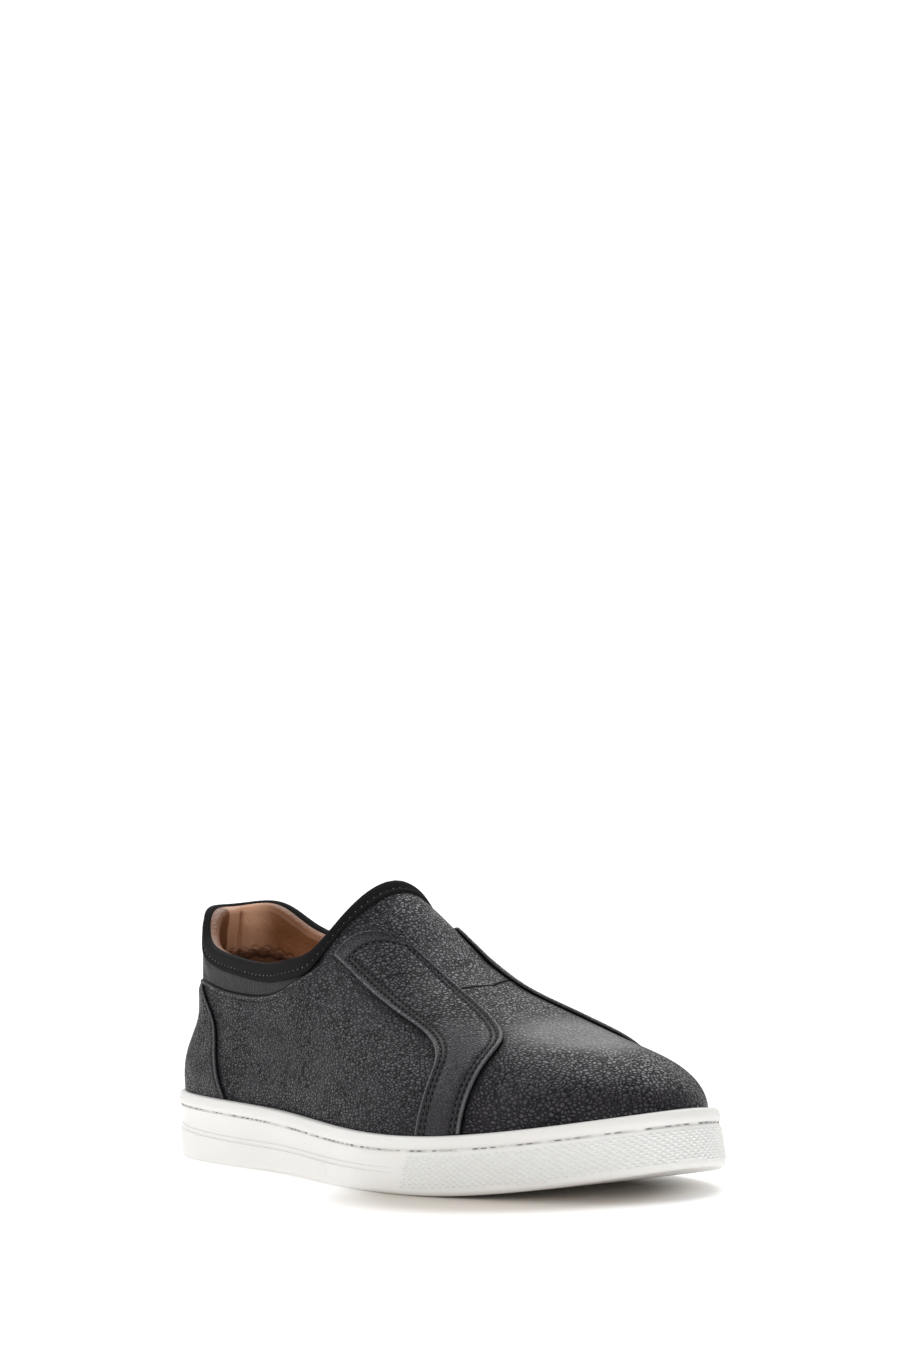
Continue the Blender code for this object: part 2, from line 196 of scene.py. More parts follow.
class Finish(Bench):
    """A material being made round its Principled shader."""

    def __init__(self, name, **fixed):
        self.material = bpy.data.materials.new(name)
        self.material.use_nodes = True
        super().__init__(self.material.node_tree)
        self.shader = self.tree.nodes["Principled BSDF"]
        for socket, value in fixed.items():
            self.shader.inputs[socket.replace("_", " ")].default_value = value
        self.place = self.node("ShaderNodeTexCoord", out="Object")

    def feed(self, **wires):
        for socket, wire in wires.items():
            self.tree.links.new(wire.socket, self.shader.inputs[socket.replace("_", " ")])

    def relief(self, height, depth):
        """Lets a height, worked out in shares of the depth, shade the surface."""
        sockets = {"Strength": 1.0, "Distance": depth, "Height": height}
        self.feed(Normal=self.node("ShaderNodeBump", None, sockets))

    def shade(self, share):
        """Gives way to a matt black where a value is 1: painted shade, as in a deep crease."""
        matt = self.node("ShaderNodeBsdfDiffuse", None, {"Color": PAINTED_SHADE_BLACK})
        leather = Wire(self, self.shader.outputs["BSDF"])
        mixed = self.node("ShaderNodeMixShader", None, {0: share, 1: leather, 2: matt})
        end = self.tree.nodes["Material Output"]
        self.tree.links.new(mixed.socket, end.inputs["Surface"])

    def noise(self, scale, detail=2.0, out=0):
        sockets = {"Vector": self.place, "Scale": scale, "Detail": detail}
        return self.node("ShaderNodeTexNoise", None, sockets, out)

    def wave(self, direction, place, scale, **more):
        """Fine stripes, as in ribs or a twisted thread."""
        sockets = {"Vector": place, "Scale": scale} | more
        return self.node("ShaderNodeTexWave", {"bands_direction": direction}, sockets, "Fac")

    def turned(self, angles, stretch):
        sockets = {"Vector": self.place, "Rotation": angles, "Scale": stretch}
        return self.node("ShaderNodeMapping", None, sockets)


# %% [markdown]
# ## Floor and light
#
# Black leather shows almost nothing but reflections, so the room is what gives it shape. A
# wide soft box hangs behind and above the shoe and grazes the instep and the toe. The left
# side is bright higher up, and a low pale card on the camera's side fills in the white sole.
# The table below is that room: how bright it is at three heights on four sides, seen from
# the camera. The floor glows like a lit sheet, except by the toe, so only the shadow under
# the raised toe marks it. There the glow fades out and the floor's colour is painted darker,
# as a painted shadow.

# %% Floor and light
CAMERA_SIDE = Vector((0.807, -0.591, 0.0))
RIGHT_SIDE = Vector((0.591, 0.807, 0.0))
ROOM_STEP = 0.3
# Which side, then its brightness at the horizon, at 17 degrees and at 37 degrees up
ROOM = [
    (CAMERA_SIDE, 2.40, 1.60, 0.10),
    (-CAMERA_SIDE, 0.00, 1.45, 2.20),
    (RIGHT_SIDE, 1.90, 0.30, 0.05),
    (-RIGHT_SIDE, 0.40, 1.25, 1.75),
]
CEILING = 0.25
BACKDROP = 1.05
KEY_FROM = Vector((-0.20, 0.45, 1.0))
KEY_STRENGTH = 1.30
KEY_SPREAD = np.radians(42)
FLOOR_COLOUR = (0.93, 0.925, 0.92, 1.0)
PAINTED_SHADOW_COLOUR = (0.70, 0.655, 0.60, 1.0)
FLOOR_GLOW = 0.30
SHADE_AT = Vector((0.085, -0.022, 0.0))
SHADE_FROM, SHADE_TO = 0.045, 0.082
FLOOR_REACH = 6.0


def make_room():
    """The world: walls of several heights, and plain white where the camera looks at it."""
    world = bpy.data.worlds.new("white_room")
    world.use_nodes = True
    world.node_tree.nodes.clear()
    bench = Bench(world.node_tree)
    way = bench.node("ShaderNodeTexCoord", out="Generated")
    height = bench.node("ShaderNodeSeparateXYZ", None, {"Vector": way}, "Z")
    flat = bench.vector_sum("NORMALIZE", bench.vector_sum("MULTIPLY", way, (1, 1, 0)), (0, 0, 0))
    steps = []
    for number in range(4):
        above = bench.sum("ABSOLUTE", height - number * ROOM_STEP, 0.0)
        steps.append(bench.sum("MAXIMUM", 1 - above / ROOM_STEP, 0.0))
    room = steps[3] * CEILING
    for side, *levels in ROOM:
        toward = bench.vector_sum("DOT_PRODUCT", flat, side, "Value")
        toward = bench.sum("MAXIMUM", toward, 0.0)
        column = steps[0] * levels[0] + steps[1] * levels[1] + steps[2] * levels[2]
        room = room + toward * toward * column
    lit = bench.node("ShaderNodeBackground", None, {"Color": room})
    plain = {"Color": (1, 1, 1, 1), "Strength": BACKDROP}
    white = bench.node("ShaderNodeBackground", None, plain)
    seen = bench.node("ShaderNodeLightPath", out="Is Camera Ray")
    mixed = bench.node("ShaderNodeMixShader", None, {0: seen, 1: lit, 2: white})
    out = world.node_tree.nodes.new("ShaderNodeOutputWorld")
    world.node_tree.links.new(mixed.socket, out.inputs["Surface"])
    bpy.context.scene.world = world


def make_studio():
    scene = bpy.context.scene
    scene.view_settings.view_transform = "Standard"
    key = bpy.data.lights.new("soft_key", "SUN")
    key.energy = KEY_STRENGTH
    key.angle = KEY_SPREAD
    lamp = bpy.data.objects.new("soft_key", key)
    lamp.rotation_euler = KEY_FROM.to_track_quat("Z", "Y").to_euler()
    scene.collection.objects.link(lamp)
    mesh = bpy.data.meshes.new("floor")
    corners = [Vector((x, y, 0)) for x, y in ((-1, -1), (1, -1), (1, 1), (-1, 1))]
    mesh.from_pydata([corner * FLOOR_REACH for corner in corners], [], [(0, 1, 2, 3)])
    paint = Finish("pale_floor", Roughness=0.9, Specular_IOR_Level=0.1)
    paint.shader.inputs["Emission Strength"].default_value = FLOOR_GLOW
    away = paint.vector_sum("DISTANCE", paint.place, SHADE_AT, "Value")
    lit = paint.smooth(away, SHADE_FROM, SHADE_TO)
    # Near the toe the floor's colour is painted darker as a shadow, and its glow fades out.
    paint.feed(
        Base_Color=paint.blend(lit, PAINTED_SHADOW_COLOUR, FLOOR_COLOUR),
        Emission_Color=paint.blend(lit, (0, 0, 0, 1), (1, 1, 1, 1)),
    )
    mesh.materials.append(paint.material)
    floor = bpy.data.objects.new("floor", mesh)
    scene.collection.objects.link(floor)
    print("studio: a room with", len(ROOM), "sides, one soft key and a pale floor")


make_room()
make_studio()

# %% [markdown]
# ## The shoe's sizes
#
# A last is described by a few lengths and by how they change from heel to toe. Each table
# below has one row for each place along the shoe and holds shares of the named sizes, so one
# number can be changed without touching the rest. They are the CAD model's own sizes.

# %% The shoe's sizes
LENGTH = 0.298
BALL_WIDTH = 0.1076
INSTEP_HEIGHT = 0.1085
HEEL_HEIGHT = 0.099
RIM_HEIGHT = 0.0268
TOE_SPRING = 0.0103
LEATHER = 0.0018
TREAD_EDGE = 0.0022
ARCH_LIFT = 0.0007
ARCH_FROM, ARCH_TO = 0.22, 0.58
HEEL_LIFT = 0.0020
HEEL_LIFT_TO = 0.05
SPRING_FROM = 0.68
HEEL_FLOOR = 0.0140
TOE_FLOOR = 0.0090
FLOOR_FALLS_FROM, FLOOR_FALLS_TO = 0.20, 0.60
HEEL_PIVOT = 0.168
TOE_PIVOT = 0.789
PIVOT_SOFTNESS = 0.040
QUARTER_FROM, QUARTER_TO = 0.295, 0.430
THROAT = 0.436
THROAT_REACH = 0.055
THROAT_ROUND = 0.65
TUCK = 0.002
SWELL_HEIGHT = 0.070

# The sole's edge: share of the length, outer and inner side as shares of the ball width
OUTLINE = [
    (0.00, 0.000, 0.000),
    (0.06, -0.262, 0.252),
    (0.14, -0.332, 0.333),
    (0.24, -0.364, 0.355),
    (0.36, -0.404, 0.344),
    (0.48, -0.476, 0.370),
    (0.60, -0.530, 0.433),
    (0.70, -0.526, 0.471),
    (0.80, -0.459, 0.453),
    (0.90, -0.325, 0.368),
    (0.96, -0.192, 0.262),
    (1.00, 0.038, 0.038),
]
# The white rim: share of the length, share of the rim's height at the heel
RIM = [
    (0.00, 1.000),
    (0.25, 0.933),
    (0.45, 0.862),
    (0.68, 0.787),
    (0.85, 0.918),
    (0.94, 1.056),
    (1.00, 1.157),
]
# The upper's foot inside the sole's edge: share of the length, share of the leather
FOOT_INSET = [
    (0.00, 1.67),
    (0.10, 1.89),
    (0.30, 2.11),
    (0.80, 2.33),
    (0.93, 2.80),
    (1.00, 3.65),
]
# The ridge over the foot: share of the length, share of the instep's height
RIDGE = [
    (0.000, 1.088),
    (0.250, 1.088),
    (0.380, 1.073),
    (0.437, 1.000),
    (0.480, 0.928),
    (0.530, 0.825),
    (0.600, 0.694),
    (0.700, 0.586),
    (0.800, 0.505),
    (0.900, 0.469),
    (1.000, 0.438),
]
# Where the ridge runs from side to side: share of the length, share of the ball width
RIDGE_SIDE = [
    (0.15, 0.008),
    (0.44, -0.008),
    (0.65, 0.018),
    (0.85, 0.028),
]
# How square a section is: share of the length, exponent across, exponent up
SQUARENESS = [
    (0.05, 2.60, 2.10),
    (0.30, 2.40, 2.15),
    (0.44, 2.00, 1.87),
    (0.62, 2.20, 2.10),
    (0.80, 2.30, 2.50),
    (1.00, 2.30, 2.45),
]
# How far a quarter leans in at the collar: share of the length, share of the heel height
LEAN = [
    (0.00, 0.068),
    (0.10, 0.081),
    (0.20, 0.068),
    (0.35, 0.057),
]
# How that lean is spread up the wall: share of the swell height, share of the lean
SWELL = [
    (0.00, 0.00),
    (0.10, -0.04),
    (0.20, 0.04),
    (0.30, 0.33),
    (0.43, 0.80),
    (0.56, 0.90),
    (0.70, 0.92),
    (0.85, 1.00),
    (1.00, 1.30),
    (1.30, 1.60),
    (2.00, 2.00),
]
# The collar's edge behind the throat: share of the length, outer and inner height as shares
# of the heel height
COLLAR = [
    (0.0000, 0.998, 0.998),
    (0.0076, 0.995, 1.002),
    (0.0300, 0.965, 1.008),
    (0.0545, 0.919, 0.999),
    (0.0810, 0.874, 0.969),
    (0.1280, 0.836, 0.903),
    (0.2000, 0.812, 0.850),
    (0.3130, 0.798, 0.828),
    (0.3790, 0.827, 0.853),
    (0.6000, 0.840, 0.860),
    (1.0000, 0.840, 0.860),
]
print(f"the shoe is {1000 * LENGTH:.0f} mm long and {1000 * BALL_WIDTH:.0f} mm wide at the ball")

# %% [markdown]
# ## Curves through the tables
#
# A table row is a place where the last was measured. A natural cubic spline joins the rows
# without a kink, which a shiny surface would show at once. `around` does the same for a
# table with two sides, as one closed loop round the shoe.

# %% Curves through the tables
TURN = 2 * np.pi
NUDGE = 1e-4
LOWEST_CLIMB = 0.002
HALVINGS = 30
FULL_CLIMB = 1 - 1e-9
ROUND_STEPS = 721


def column(table, number):
    return np.array([row[number] for row in table], float)


def spline(xs, ys, x):
    """A smooth curve through the points, held at its end values outside them."""
    wide = np.diff(xs)
    rows = np.eye(len(xs))
    right = np.zeros(len(xs))
    for i in range(1, len(xs) - 1):
        rows[i, i - 1 : i + 2] = wide[i - 1], 2 * (wide[i - 1] + wide[i]), wide[i]
        right[i] = 6 * ((ys[i + 1] - ys[i]) / wide[i] - (ys[i] - ys[i - 1]) / wide[i - 1])
    bend = np.linalg.solve(rows, right)
    x = np.clip(x, xs[0], xs[-1])
    i = np.clip(np.searchsorted(xs, x, side="right") - 1, 0, len(xs) - 2)
    a = (xs[i + 1] - x) / wide[i]
    b = (x - xs[i]) / wide[i]
    curved = (a**3 - a) * bend[i] + (b**3 - b) * bend[i + 1]
    return a * ys[i] + b * ys[i + 1] + curved * wide[i] ** 2 / 6


def along(table, share, number=1):
    """A column of a table, at a share of the length."""
    return spline(column(table, 0), column(table, number), share)


def share_at(station):
    return (1 - np.cos(station)) / 2


def station_at(share):
    """The station on the outer side at this share of the length."""
    return np.arccos(1 - 2 * np.clip(share, 0, 1))


def around(table, station):
    """A table with an outer and an inner column, as one loop around the shoe."""
    angle = station_at(column(table, 0))
    angles = np.concatenate([angle, TURN - angle[-2:0:-1]])
    values = np.concatenate([column(table, 1), column(table, 2)[-2:0:-1]])
    angles = np.concatenate([angles[-3:] - TURN, angles, angles[:4] + TURN])
    values = np.concatenate([values[-3:], values, values[:4]])
    return spline(angles, values, np.mod(station, TURN))


def ramp(value, start, end):
    """0 before the start, 1 after the end, and straight between them."""
    return np.clip((value - start) / (end - start), 0, 1)


def ease(value, start, end):
    """Like ramp, but with soft ends."""
    x = ramp(value, start, end)
    return x * x * (3 - 2 * x)


def hump(value, middle, width):
    """1 at the middle, fading to nothing over about two widths."""
    return np.exp(-(((value - middle) / width) ** 2))


def unit(vectors):
    return vectors / np.maximum(np.linalg.norm(vectors, axis=-1, keepdims=True), 1e-12)


print("ball line:", np.round(1000 * BALL_WIDTH * around(OUTLINE, station_at(0.6)), 1), "mm")

# %% [markdown]
# ## The last
#
# Two functions hold the whole form. `outline` is the sole seen from above. `skin` is the
# outer face of the upper. A station is an angle around the shoe, 0 at the back of the heel
# and half a turn at the toe, with the outer side first. A climb runs up the leather from 0 at
# the sole to 1 on the ridge. Each section is a squared-off ellipse, and behind the throat it
# gives way to the nearly upright wall of the quarter.

# %% The last
def outline(station, inset=0.0):
    """The sole's edge seen from above, moved in by an inset."""

    def edge(angle):
        return np.array([LENGTH * share_at(angle), BALL_WIDTH * around(OUTLINE, angle)])

    point = edge(station)
    way = edge(station + NUDGE) - edge(station - NUDGE)
    way = way / np.hypot(way[0], way[1])
    return point[0] - way[1] * inset, point[1] + way[0] * inset


def foot_inset(share):
    return LEATHER * along(FOOT_INSET, share)


def ground(share):
    """The underside: flat at the heel and the ball, lifted at the back edge, arch and toe."""
    spring = TOE_SPRING * ramp(share, SPRING_FROM, 1) ** 2
    arch = ARCH_LIFT * np.sin(np.pi * ramp(share, ARCH_FROM, ARCH_TO)) ** 2
    back = HEEL_LIFT * (1 - ramp(share, 0, HEEL_LIFT_TO)) ** 2
    return spring + arch + back


def rim(share):
    return RIM_HEIGHT * along(RIM, share)


def cup_floor(share):
    thinner = (HEEL_FLOOR - TOE_FLOOR) * ramp(share, FLOOR_FALLS_FROM, FLOOR_FALLS_TO)
    return ground(share) + HEEL_FLOOR - thinner


def spine(station):
    """Where a station's section ends, inward: the sections fan out at the heel and the toe."""
    share = share_at(station)
    share = share - PIVOT_SOFTNESS * np.logaddexp(0, (share - TOE_PIVOT) / PIVOT_SOFTNESS)
    share = share + PIVOT_SOFTNESS * np.logaddexp(0, (HEEL_PIVOT - share) / PIVOT_SOFTNESS)
    return LENGTH * share, BALL_WIDTH * along(RIDGE_SIDE, share)


def skin(station, climb):
    """The upper's outer face."""
    foot_x, foot_y = outline(station, foot_inset(share_at(station)))
    middle_x, middle_y = spine(station)
    share = foot_x / LENGTH
    angle = np.pi / 2 * np.clip(climb, 0, 1)
    rise = np.sin(angle) ** (2 / along(SQUARENESS, share, 2))
    arched = np.cos(angle) ** (2 / along(SQUARENESS, share, 1))
    base = rim(share) - TUCK
    up = (INSTEP_HEIGHT * along(RIDGE, share) - base) * rise
    lean = HEEL_HEIGHT * along(LEAN, share) / np.hypot(foot_x - middle_x, foot_y - middle_y)
    upright = 1 - lean * along(SWELL, up / SWELL_HEIGHT)
    blend = ramp(share, QUARTER_FROM, QUARTER_TO)
    out = upright + (arched - upright) * blend**2 * (3 - 2 * blend)
    x = middle_x + (foot_x - middle_x) * out
    y = middle_y + (foot_y - middle_y) * out
    z = base + (INSTEP_HEIGHT * along(RIDGE, x / LENGTH) - base) * rise
    return np.stack([x, y, z], -1)


def facing(station, climb):
    """The way the outer face looks, as unit vectors."""
    station, climb = np.broadcast_arrays(station, climb)
    low = np.clip(climb - NUDGE, LOWEST_CLIMB, 1)
    high = np.clip(climb + NUDGE, 2 * LOWEST_CLIMB, 1)
    sideways = skin(station + NUDGE, climb) - skin(station - NUDGE, climb)
    upward = skin(station, high) - skin(station, low)
    return unit(np.cross(sideways, upward))


def lifted(station, climb, distance):
    """The outer face moved out along its normal."""
    station, climb = np.broadcast_arrays(station, climb)
    away = np.asarray(distance)[..., None]
    return skin(station, climb) + facing(station, climb) * away


def climb_to(station, height):
    """The climb at which the outer face reaches a height, by halving."""
    station, height = np.broadcast_arrays(station, height)
    low = np.zeros(station.shape)
    high = np.ones(station.shape)
    for _ in range(HALVINGS):
        middle = (low + high) / 2
        under = skin(station, middle)[..., 2] < height
        low = np.where(under, middle, low)
        high = np.where(under, high, middle)
    return (low + high) / 2


def throat_share(station):
    """0 where the collar starts to rise to the throat, 1 at the throat."""
    return ramp(share_at(station), THROAT - THROAT_REACH, THROAT)


def collar(station):
    """The climb at which the collar's edge cuts the outer face, 1 from the throat forward."""
    side = HEEL_HEIGHT * around(COLLAR, station)
    rise = 1 - np.clip(1 - throat_share(station) ** 2, 0, 1) ** THROAT_ROUND
    height = side + (INSTEP_HEIGHT - side) * rise
    behind = throat_share(station) < 1 - NUDGE
    return np.where(behind, climb_to(station, height), 1.0)


edge_y = BALL_WIDTH * around(OUTLINE, np.linspace(0, TURN, ROUND_STEPS))
CENTRE = np.array([LENGTH / 2, (edge_y.max() + edge_y.min()) / 2, 0.0])
print("instep top:", np.round(1000 * skin(station_at(THROAT), 1.0), 1), "mm from the heel")

# %% [markdown]
# ## Black grained leather
#
# Milled leather is covered in pebbles: small domes with creases between them, longer one way
# where the hide was stretched over the last. A Voronoi texture's distance to its cell edges
# gives exactly that, once a little noise has bent its straight cell walls. It reads object
# coordinates, so the grain has one size on every panel and never swims over a seam. No
# light gets down into a crease or a stitched groove, so there the leather gives way to a
# matt black, by a Mix Shader, while the domes catch the light.

# %% Black grained leather
PEBBLE_EDGE = 0.28
CREASE_SHADE = 0.80
PAINTED_SHADE_BLACK = (0.004, 0.0039, 0.0042, 1.0)
PAINTED_EDGE_HIGHLIGHT = (0.16, 0.157, 0.165, 1.0)
WARP = 0.0007


def pebbles(finish, size, angles, stretch):
    """Domes of about this size, as a height from 0 in the creases to 1."""
    drift = finish.noise(420.0, 1.0, "Color")
    shift = finish.scaled(finish.vector_sum("SUBTRACT", drift, (0.5, 0.5, 0.5)), WARP)
    bent = finish.vector_sum("ADD", finish.turned(angles, stretch), shift)
    sockets = {"Vector": bent, "Scale": 1 / size}
    wall = finish.node("ShaderNodeTexVoronoi", {"feature": "DISTANCE_TO_EDGE"}, sockets)
    return finish.smooth(wall, 0.0, PEBBLE_EDGE)


def make_leather(name, grains, depth, roughness, dark, light):
    """A leather whose grain is one or two sets of pebbles, the second where `grain` is 1."""
    finish = Finish(
        name,
        Specular_IOR_Level=0.55,
        Specular_Tint=(0.97, 0.92, 1.0, 1.0),
        Coat_Weight=0.12,
        Coat_Roughness=0.20,
    )
    height = pebbles(finish, *grains[0])
    if len(grains) > 1:
        second = pebbles(finish, *grains[1])
        share = finish.mark("grain")
        height = height * (1 - share) + second * share
    patchy = finish.smooth(finish.noise(55.0, 2.0), 0.30, 0.70)
    pores = finish.noise(3200.0, 2.0)
    flat = 1 - finish.mark("smooth") * 0.75
    strength = (patchy * 0.2 + 0.8) * flat
    finish.relief((height + pores * 0.25) * strength, depth)
    # Besides a random tone, the colour is painted darker in the creases and paler on the domes, as
    # shade and light.
    tone = finish.noise(28.0, 3.0) * 0.2 + height * strength * 0.8
    colour = finish.blend(tone, (*dark, 1), (*light, 1))
    # The `rim` mark is a painted highlight: a pale grey along folded and raised edges.
    painted_highlight = finish.mark("rim")
    hollow = (1 - height) * strength
    dull = (finish.noise(90.0, 2.0) - 0.5) * 0.10
    finish.feed(
        Base_Color=finish.blend(painted_highlight, colour, PAINTED_EDGE_HIGHLIGHT),
        Roughness=roughness + hollow * 0.16 + dull,
    )
    # The `seam` mark is painted shade: matt black in seams, stitch grooves and beside overlaid
    # edges.
    finish.shade(finish.sum("MAXIMUM", hollow * CREASE_SHADE, finish.mark("seam")))
    return finish.material


UPPER_GRAIN = (0.00120, (0.0, 0.45, 0.0), (0.58, 0.9, 1.15))
TOE_GRAIN = (0.00145, (0.0, 0.3, 0.0), (0.75, 1.0, 1.1))
STRAP_GRAIN = (0.00145, (0.0, -0.3, 0.2), (0.62, 1.0, 1.1))
FINE_GRAIN = (0.00100, (0.0, 0.3, 0.0), (0.7, 1.0, 1.1))
upper_leather = make_leather(
    "black_grained_leather",
    [UPPER_GRAIN, TOE_GRAIN],
    0.00045,
    0.32,
    (0.0032, 0.0027, 0.0034),
    (0.0175, 0.0155, 0.0190),
)
strap_leather = make_leather(
    "black_strap_leather",
    [FINE_GRAIN, STRAP_GRAIN],
    0.00060,
    0.30,
    (0.0032, 0.0027, 0.0034),
    (0.0165, 0.0145, 0.0180),
)
counter_leather = make_leather(
    "black_counter_leather",
    [(0.00120, (0.2, 0.4, 0.9), (0.8, 0.8, 1.1))],
    0.00040,
    0.34,
    (0.004, 0.0038, 0.0042),
    (0.019, 0.0183, 0.0200),
)
print("leathers:", upper_leather.name, strap_leather.name, counter_leather.name)

# %% [markdown]
# ## Textile, lining and thread
#
# The band is a stretch knit: dead matt, so it reflects next to nothing of the white room.
# Its ribs follow the collar, so they read the band's own UV map. The lining is smooth tan
# leather, a little blotchy, with a highlight painted on in paler tan; lower down it is napped
# like suede. Thread is a tight twist, so each stitch gets fine slanting ridges. The black
# thread's pale tone is a painted highlight, for the gloss on its stitches.

# %% Textile, lining and thread
def make_textile():
    finish = Finish("black_stretch_knit", Specular_IOR_Level=0.12)
    chart = finish.node("ShaderNodeUVMap", {"uv_map": "cloth"})
    ribs = finish.wave("X", chart, 420.0, Distortion=1.2, Detail=1.0)
    cross = finish.wave("Y", chart, 520.0, Distortion=1.0, Detail=1.0)
    fuzz = finish.noise(1800.0, 2.0)
    loops = ribs * 0.5 + cross * 0.5
    finish.relief(loops + fuzz * 0.5, 0.00010)
    tone = loops * 0.6 + fuzz * 0.4
    colour = finish.blend(tone, (0.004, 0.004, 0.0044, 1), (0.014, 0.0136, 0.0148, 1))
    finish.feed(Base_Color=colour, Roughness=0.80 + fuzz * 0.15)
    return finish.material


def make_lining():
    finish = Finish("tan_lining_leather", Specular_IOR_Level=0.40)
    nap = finish.mark("nap")
    blotch = finish.smooth(finish.noise(45.0, 3.0), 0.25, 0.75)
    fibre = finish.noise(1500.0, 3.0)
    creases = pebbles(finish, 0.0022, (0.4, 0.2, 0.0), (1.0, 1.0, 0.6))
    smooth_tan = finish.blend(blotch, (0.165, 0.060, 0.021, 1), (0.270, 0.105, 0.041, 1))
    # The `rim` mark paints a highlight in a paler tan.
    smooth_tan = finish.blend(finish.mark("rim") * 0.8, smooth_tan, (0.62, 0.33, 0.20, 1))
    napped_tan = finish.blend(fibre, (0.10, 0.038, 0.016, 1), (0.26, 0.115, 0.060, 1))
    finish.relief(creases * (1 - nap) * 0.35 + fibre * (nap * 1.4 + 0.12), 0.00022)
    finish.feed(
        Base_Color=finish.blend(nap, smooth_tan, napped_tan),
        Roughness=0.40 + nap * 0.45 + blotch * 0.06,
    )
    return finish.material


def make_thread(name, dark, light):
    finish = Finish(name, Specular_IOR_Level=0.35)
    strands = finish.wave("DIAGONAL", finish.place, 900.0)
    tone = strands * 0.5 + finish.noise(160.0, 2.0) * 0.6
    finish.relief(strands, 0.00006)
    colour = finish.blend(tone, (*dark, 1), (*light, 1))
    finish.feed(Base_Color=colour, Roughness=0.5 + strands * 0.2)
    return finish.material


band_textile = make_textile()
tan_lining = make_lining()
# The black thread's pale tone is a painted highlight, standing in for the gloss on its stitches.
black_thread = make_thread("black_thread", (0.012, 0.012, 0.013), (0.120, 0.117, 0.124))
grey_thread = make_thread("grey_thread", (0.08, 0.08, 0.085), (0.34, 0.335, 0.34))
print("soft finishes:", band_textile.name, tan_lining.name, black_thread.name, grey_thread.name)

# %% [markdown]
# ## White rubber
#
# The cup sole is moulded rubber, warm white and almost clean. What tells it from plaster is
# a soft gloss with a slight skin to it, a trace of grey in the stitched groove, and the odd
# speck. The groove's grey follows a value painted on the mesh where the wall is sunk.

# %% White rubber
# Each speck: its place on the sole and its size, in metres
SPECKS = [
    (0.0700, -0.0553, 0.0140, 0.0007),
    (0.0588, -0.0553, 0.0075, 0.0005),
    (0.0200, -0.0500, 0.0170, 0.0004),
]


def make_rubber():
    finish = Finish(
        "warm_white_rubber",
        Specular_IOR_Level=0.45,
        Subsurface_Weight=0.06,
        Subsurface_Scale=0.002,
    )
    skin_noise = finish.noise(900.0, 2.0)
    cloud = finish.noise(22.0, 3.0)
    grime = finish.mark("groove") * finish.smooth(finish.noise(150.0, 2.0), 0.30, 0.62)
    scuff = finish.smooth(finish.noise(70.0, 5.0), 0.63, 0.74) * 0.25
    clean = finish.blend(cloud, (0.765, 0.753, 0.728, 1), (0.815, 0.805, 0.782, 1))
    used = finish.blend(scuff, clean, (0.70, 0.68, 0.64, 1))
    colour = finish.blend(grime * 0.5, used, (0.34, 0.33, 0.32, 1))
    for x, y, z, size in SPECKS:
        away = finish.vector_sum("DISTANCE", finish.place, (x, y, z), "Value")
        speck = 1 - finish.smooth(away, size * 0.6, size)
        colour = finish.blend(speck * 0.85, colour, (0.10, 0.05, 0.04, 1))
    finish.relief(skin_noise * 0.5 + cloud * 0.5, 0.00005)
    finish.feed(Base_Color=colour, Roughness=0.42 + skin_noise * 0.10 + grime * 0.3)
    return finish.material


white_rubber = make_rubber()
print("rubber:", white_rubber.name, "with", len(SPECKS), "specks")

# %% [markdown]
# ## Sewing points into pieces
#
# Every piece below is a grid of points: rows up the leather, columns round the shoe. `sew`
# turns such grids into a mesh with smooth shading, joins points that fall together, as at the
# ridge, and paints on it the values that its finish reads. `sheet_of` makes a closed sheet
# from a face grid and a back grid, with its edges filled in, or the last row's edge only
# where it is asked to, as at a collar that ends in a ridge.

# %% Sewing points into pieces
JOIN = 1e-6
CREASE_ANGLE = np.radians(50)


def grid_faces(rows, columns, closed):
    """The four corners of each face of a grid, counted row by row."""
    row = np.arange(rows - 1)[:, None] * columns
    one = np.arange(columns if closed else columns - 1)[None, :]
    other = (one + 1) % columns
    return np.stack([row + one, row + other, row + columns + other, row + columns + one], -1)


def sew(name, points, faces, finish, marks=None, chart=None):
    """A finished piece from points in heel coordinates, riding on the shoe."""
    mesh = bpy.data.meshes.new(name)
    flat = (points.reshape(-1, 3) - CENTRE).astype(np.float32)
    mesh.from_pydata(flat.tolist(), [], faces.reshape(-1, faces.shape[-1]).tolist())
    for mark, values in (marks or {}).items():
        painted = mesh.attributes.new(mark, "FLOAT", "POINT")
        painted.data.foreach_set("value", np.asarray(values, np.float32).reshape(-1))
    if chart is not None:
        corners = np.empty(len(mesh.loops), np.int32)
        mesh.loops.foreach_get("vertex_index", corners)
        layer = mesh.uv_layers.new(name="cloth")
        layer.uv.foreach_set("vector", chart.reshape(-1, 2)[corners].astype(np.float32).ravel())
    work = bmesh.new()
    work.from_mesh(mesh)
    bmesh.ops.remove_doubles(work, verts=work.verts, dist=JOIN)
    bmesh.ops.dissolve_degenerate(work, edges=work.edges, dist=JOIN / 10)
    work.to_mesh(mesh)
    work.free()
    mesh.materials.append(finish)
    mesh.shade_smooth()
    mesh.set_sharp_from_angle(angle=CREASE_ANGLE)
    piece = bpy.data.objects.new(name, mesh)
    bpy.context.scene.collection.objects.link(piece)
    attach(piece, "root")
    print(f"{name}: {len(mesh.vertices)} points, {len(mesh.polygons)} faces")
    return piece


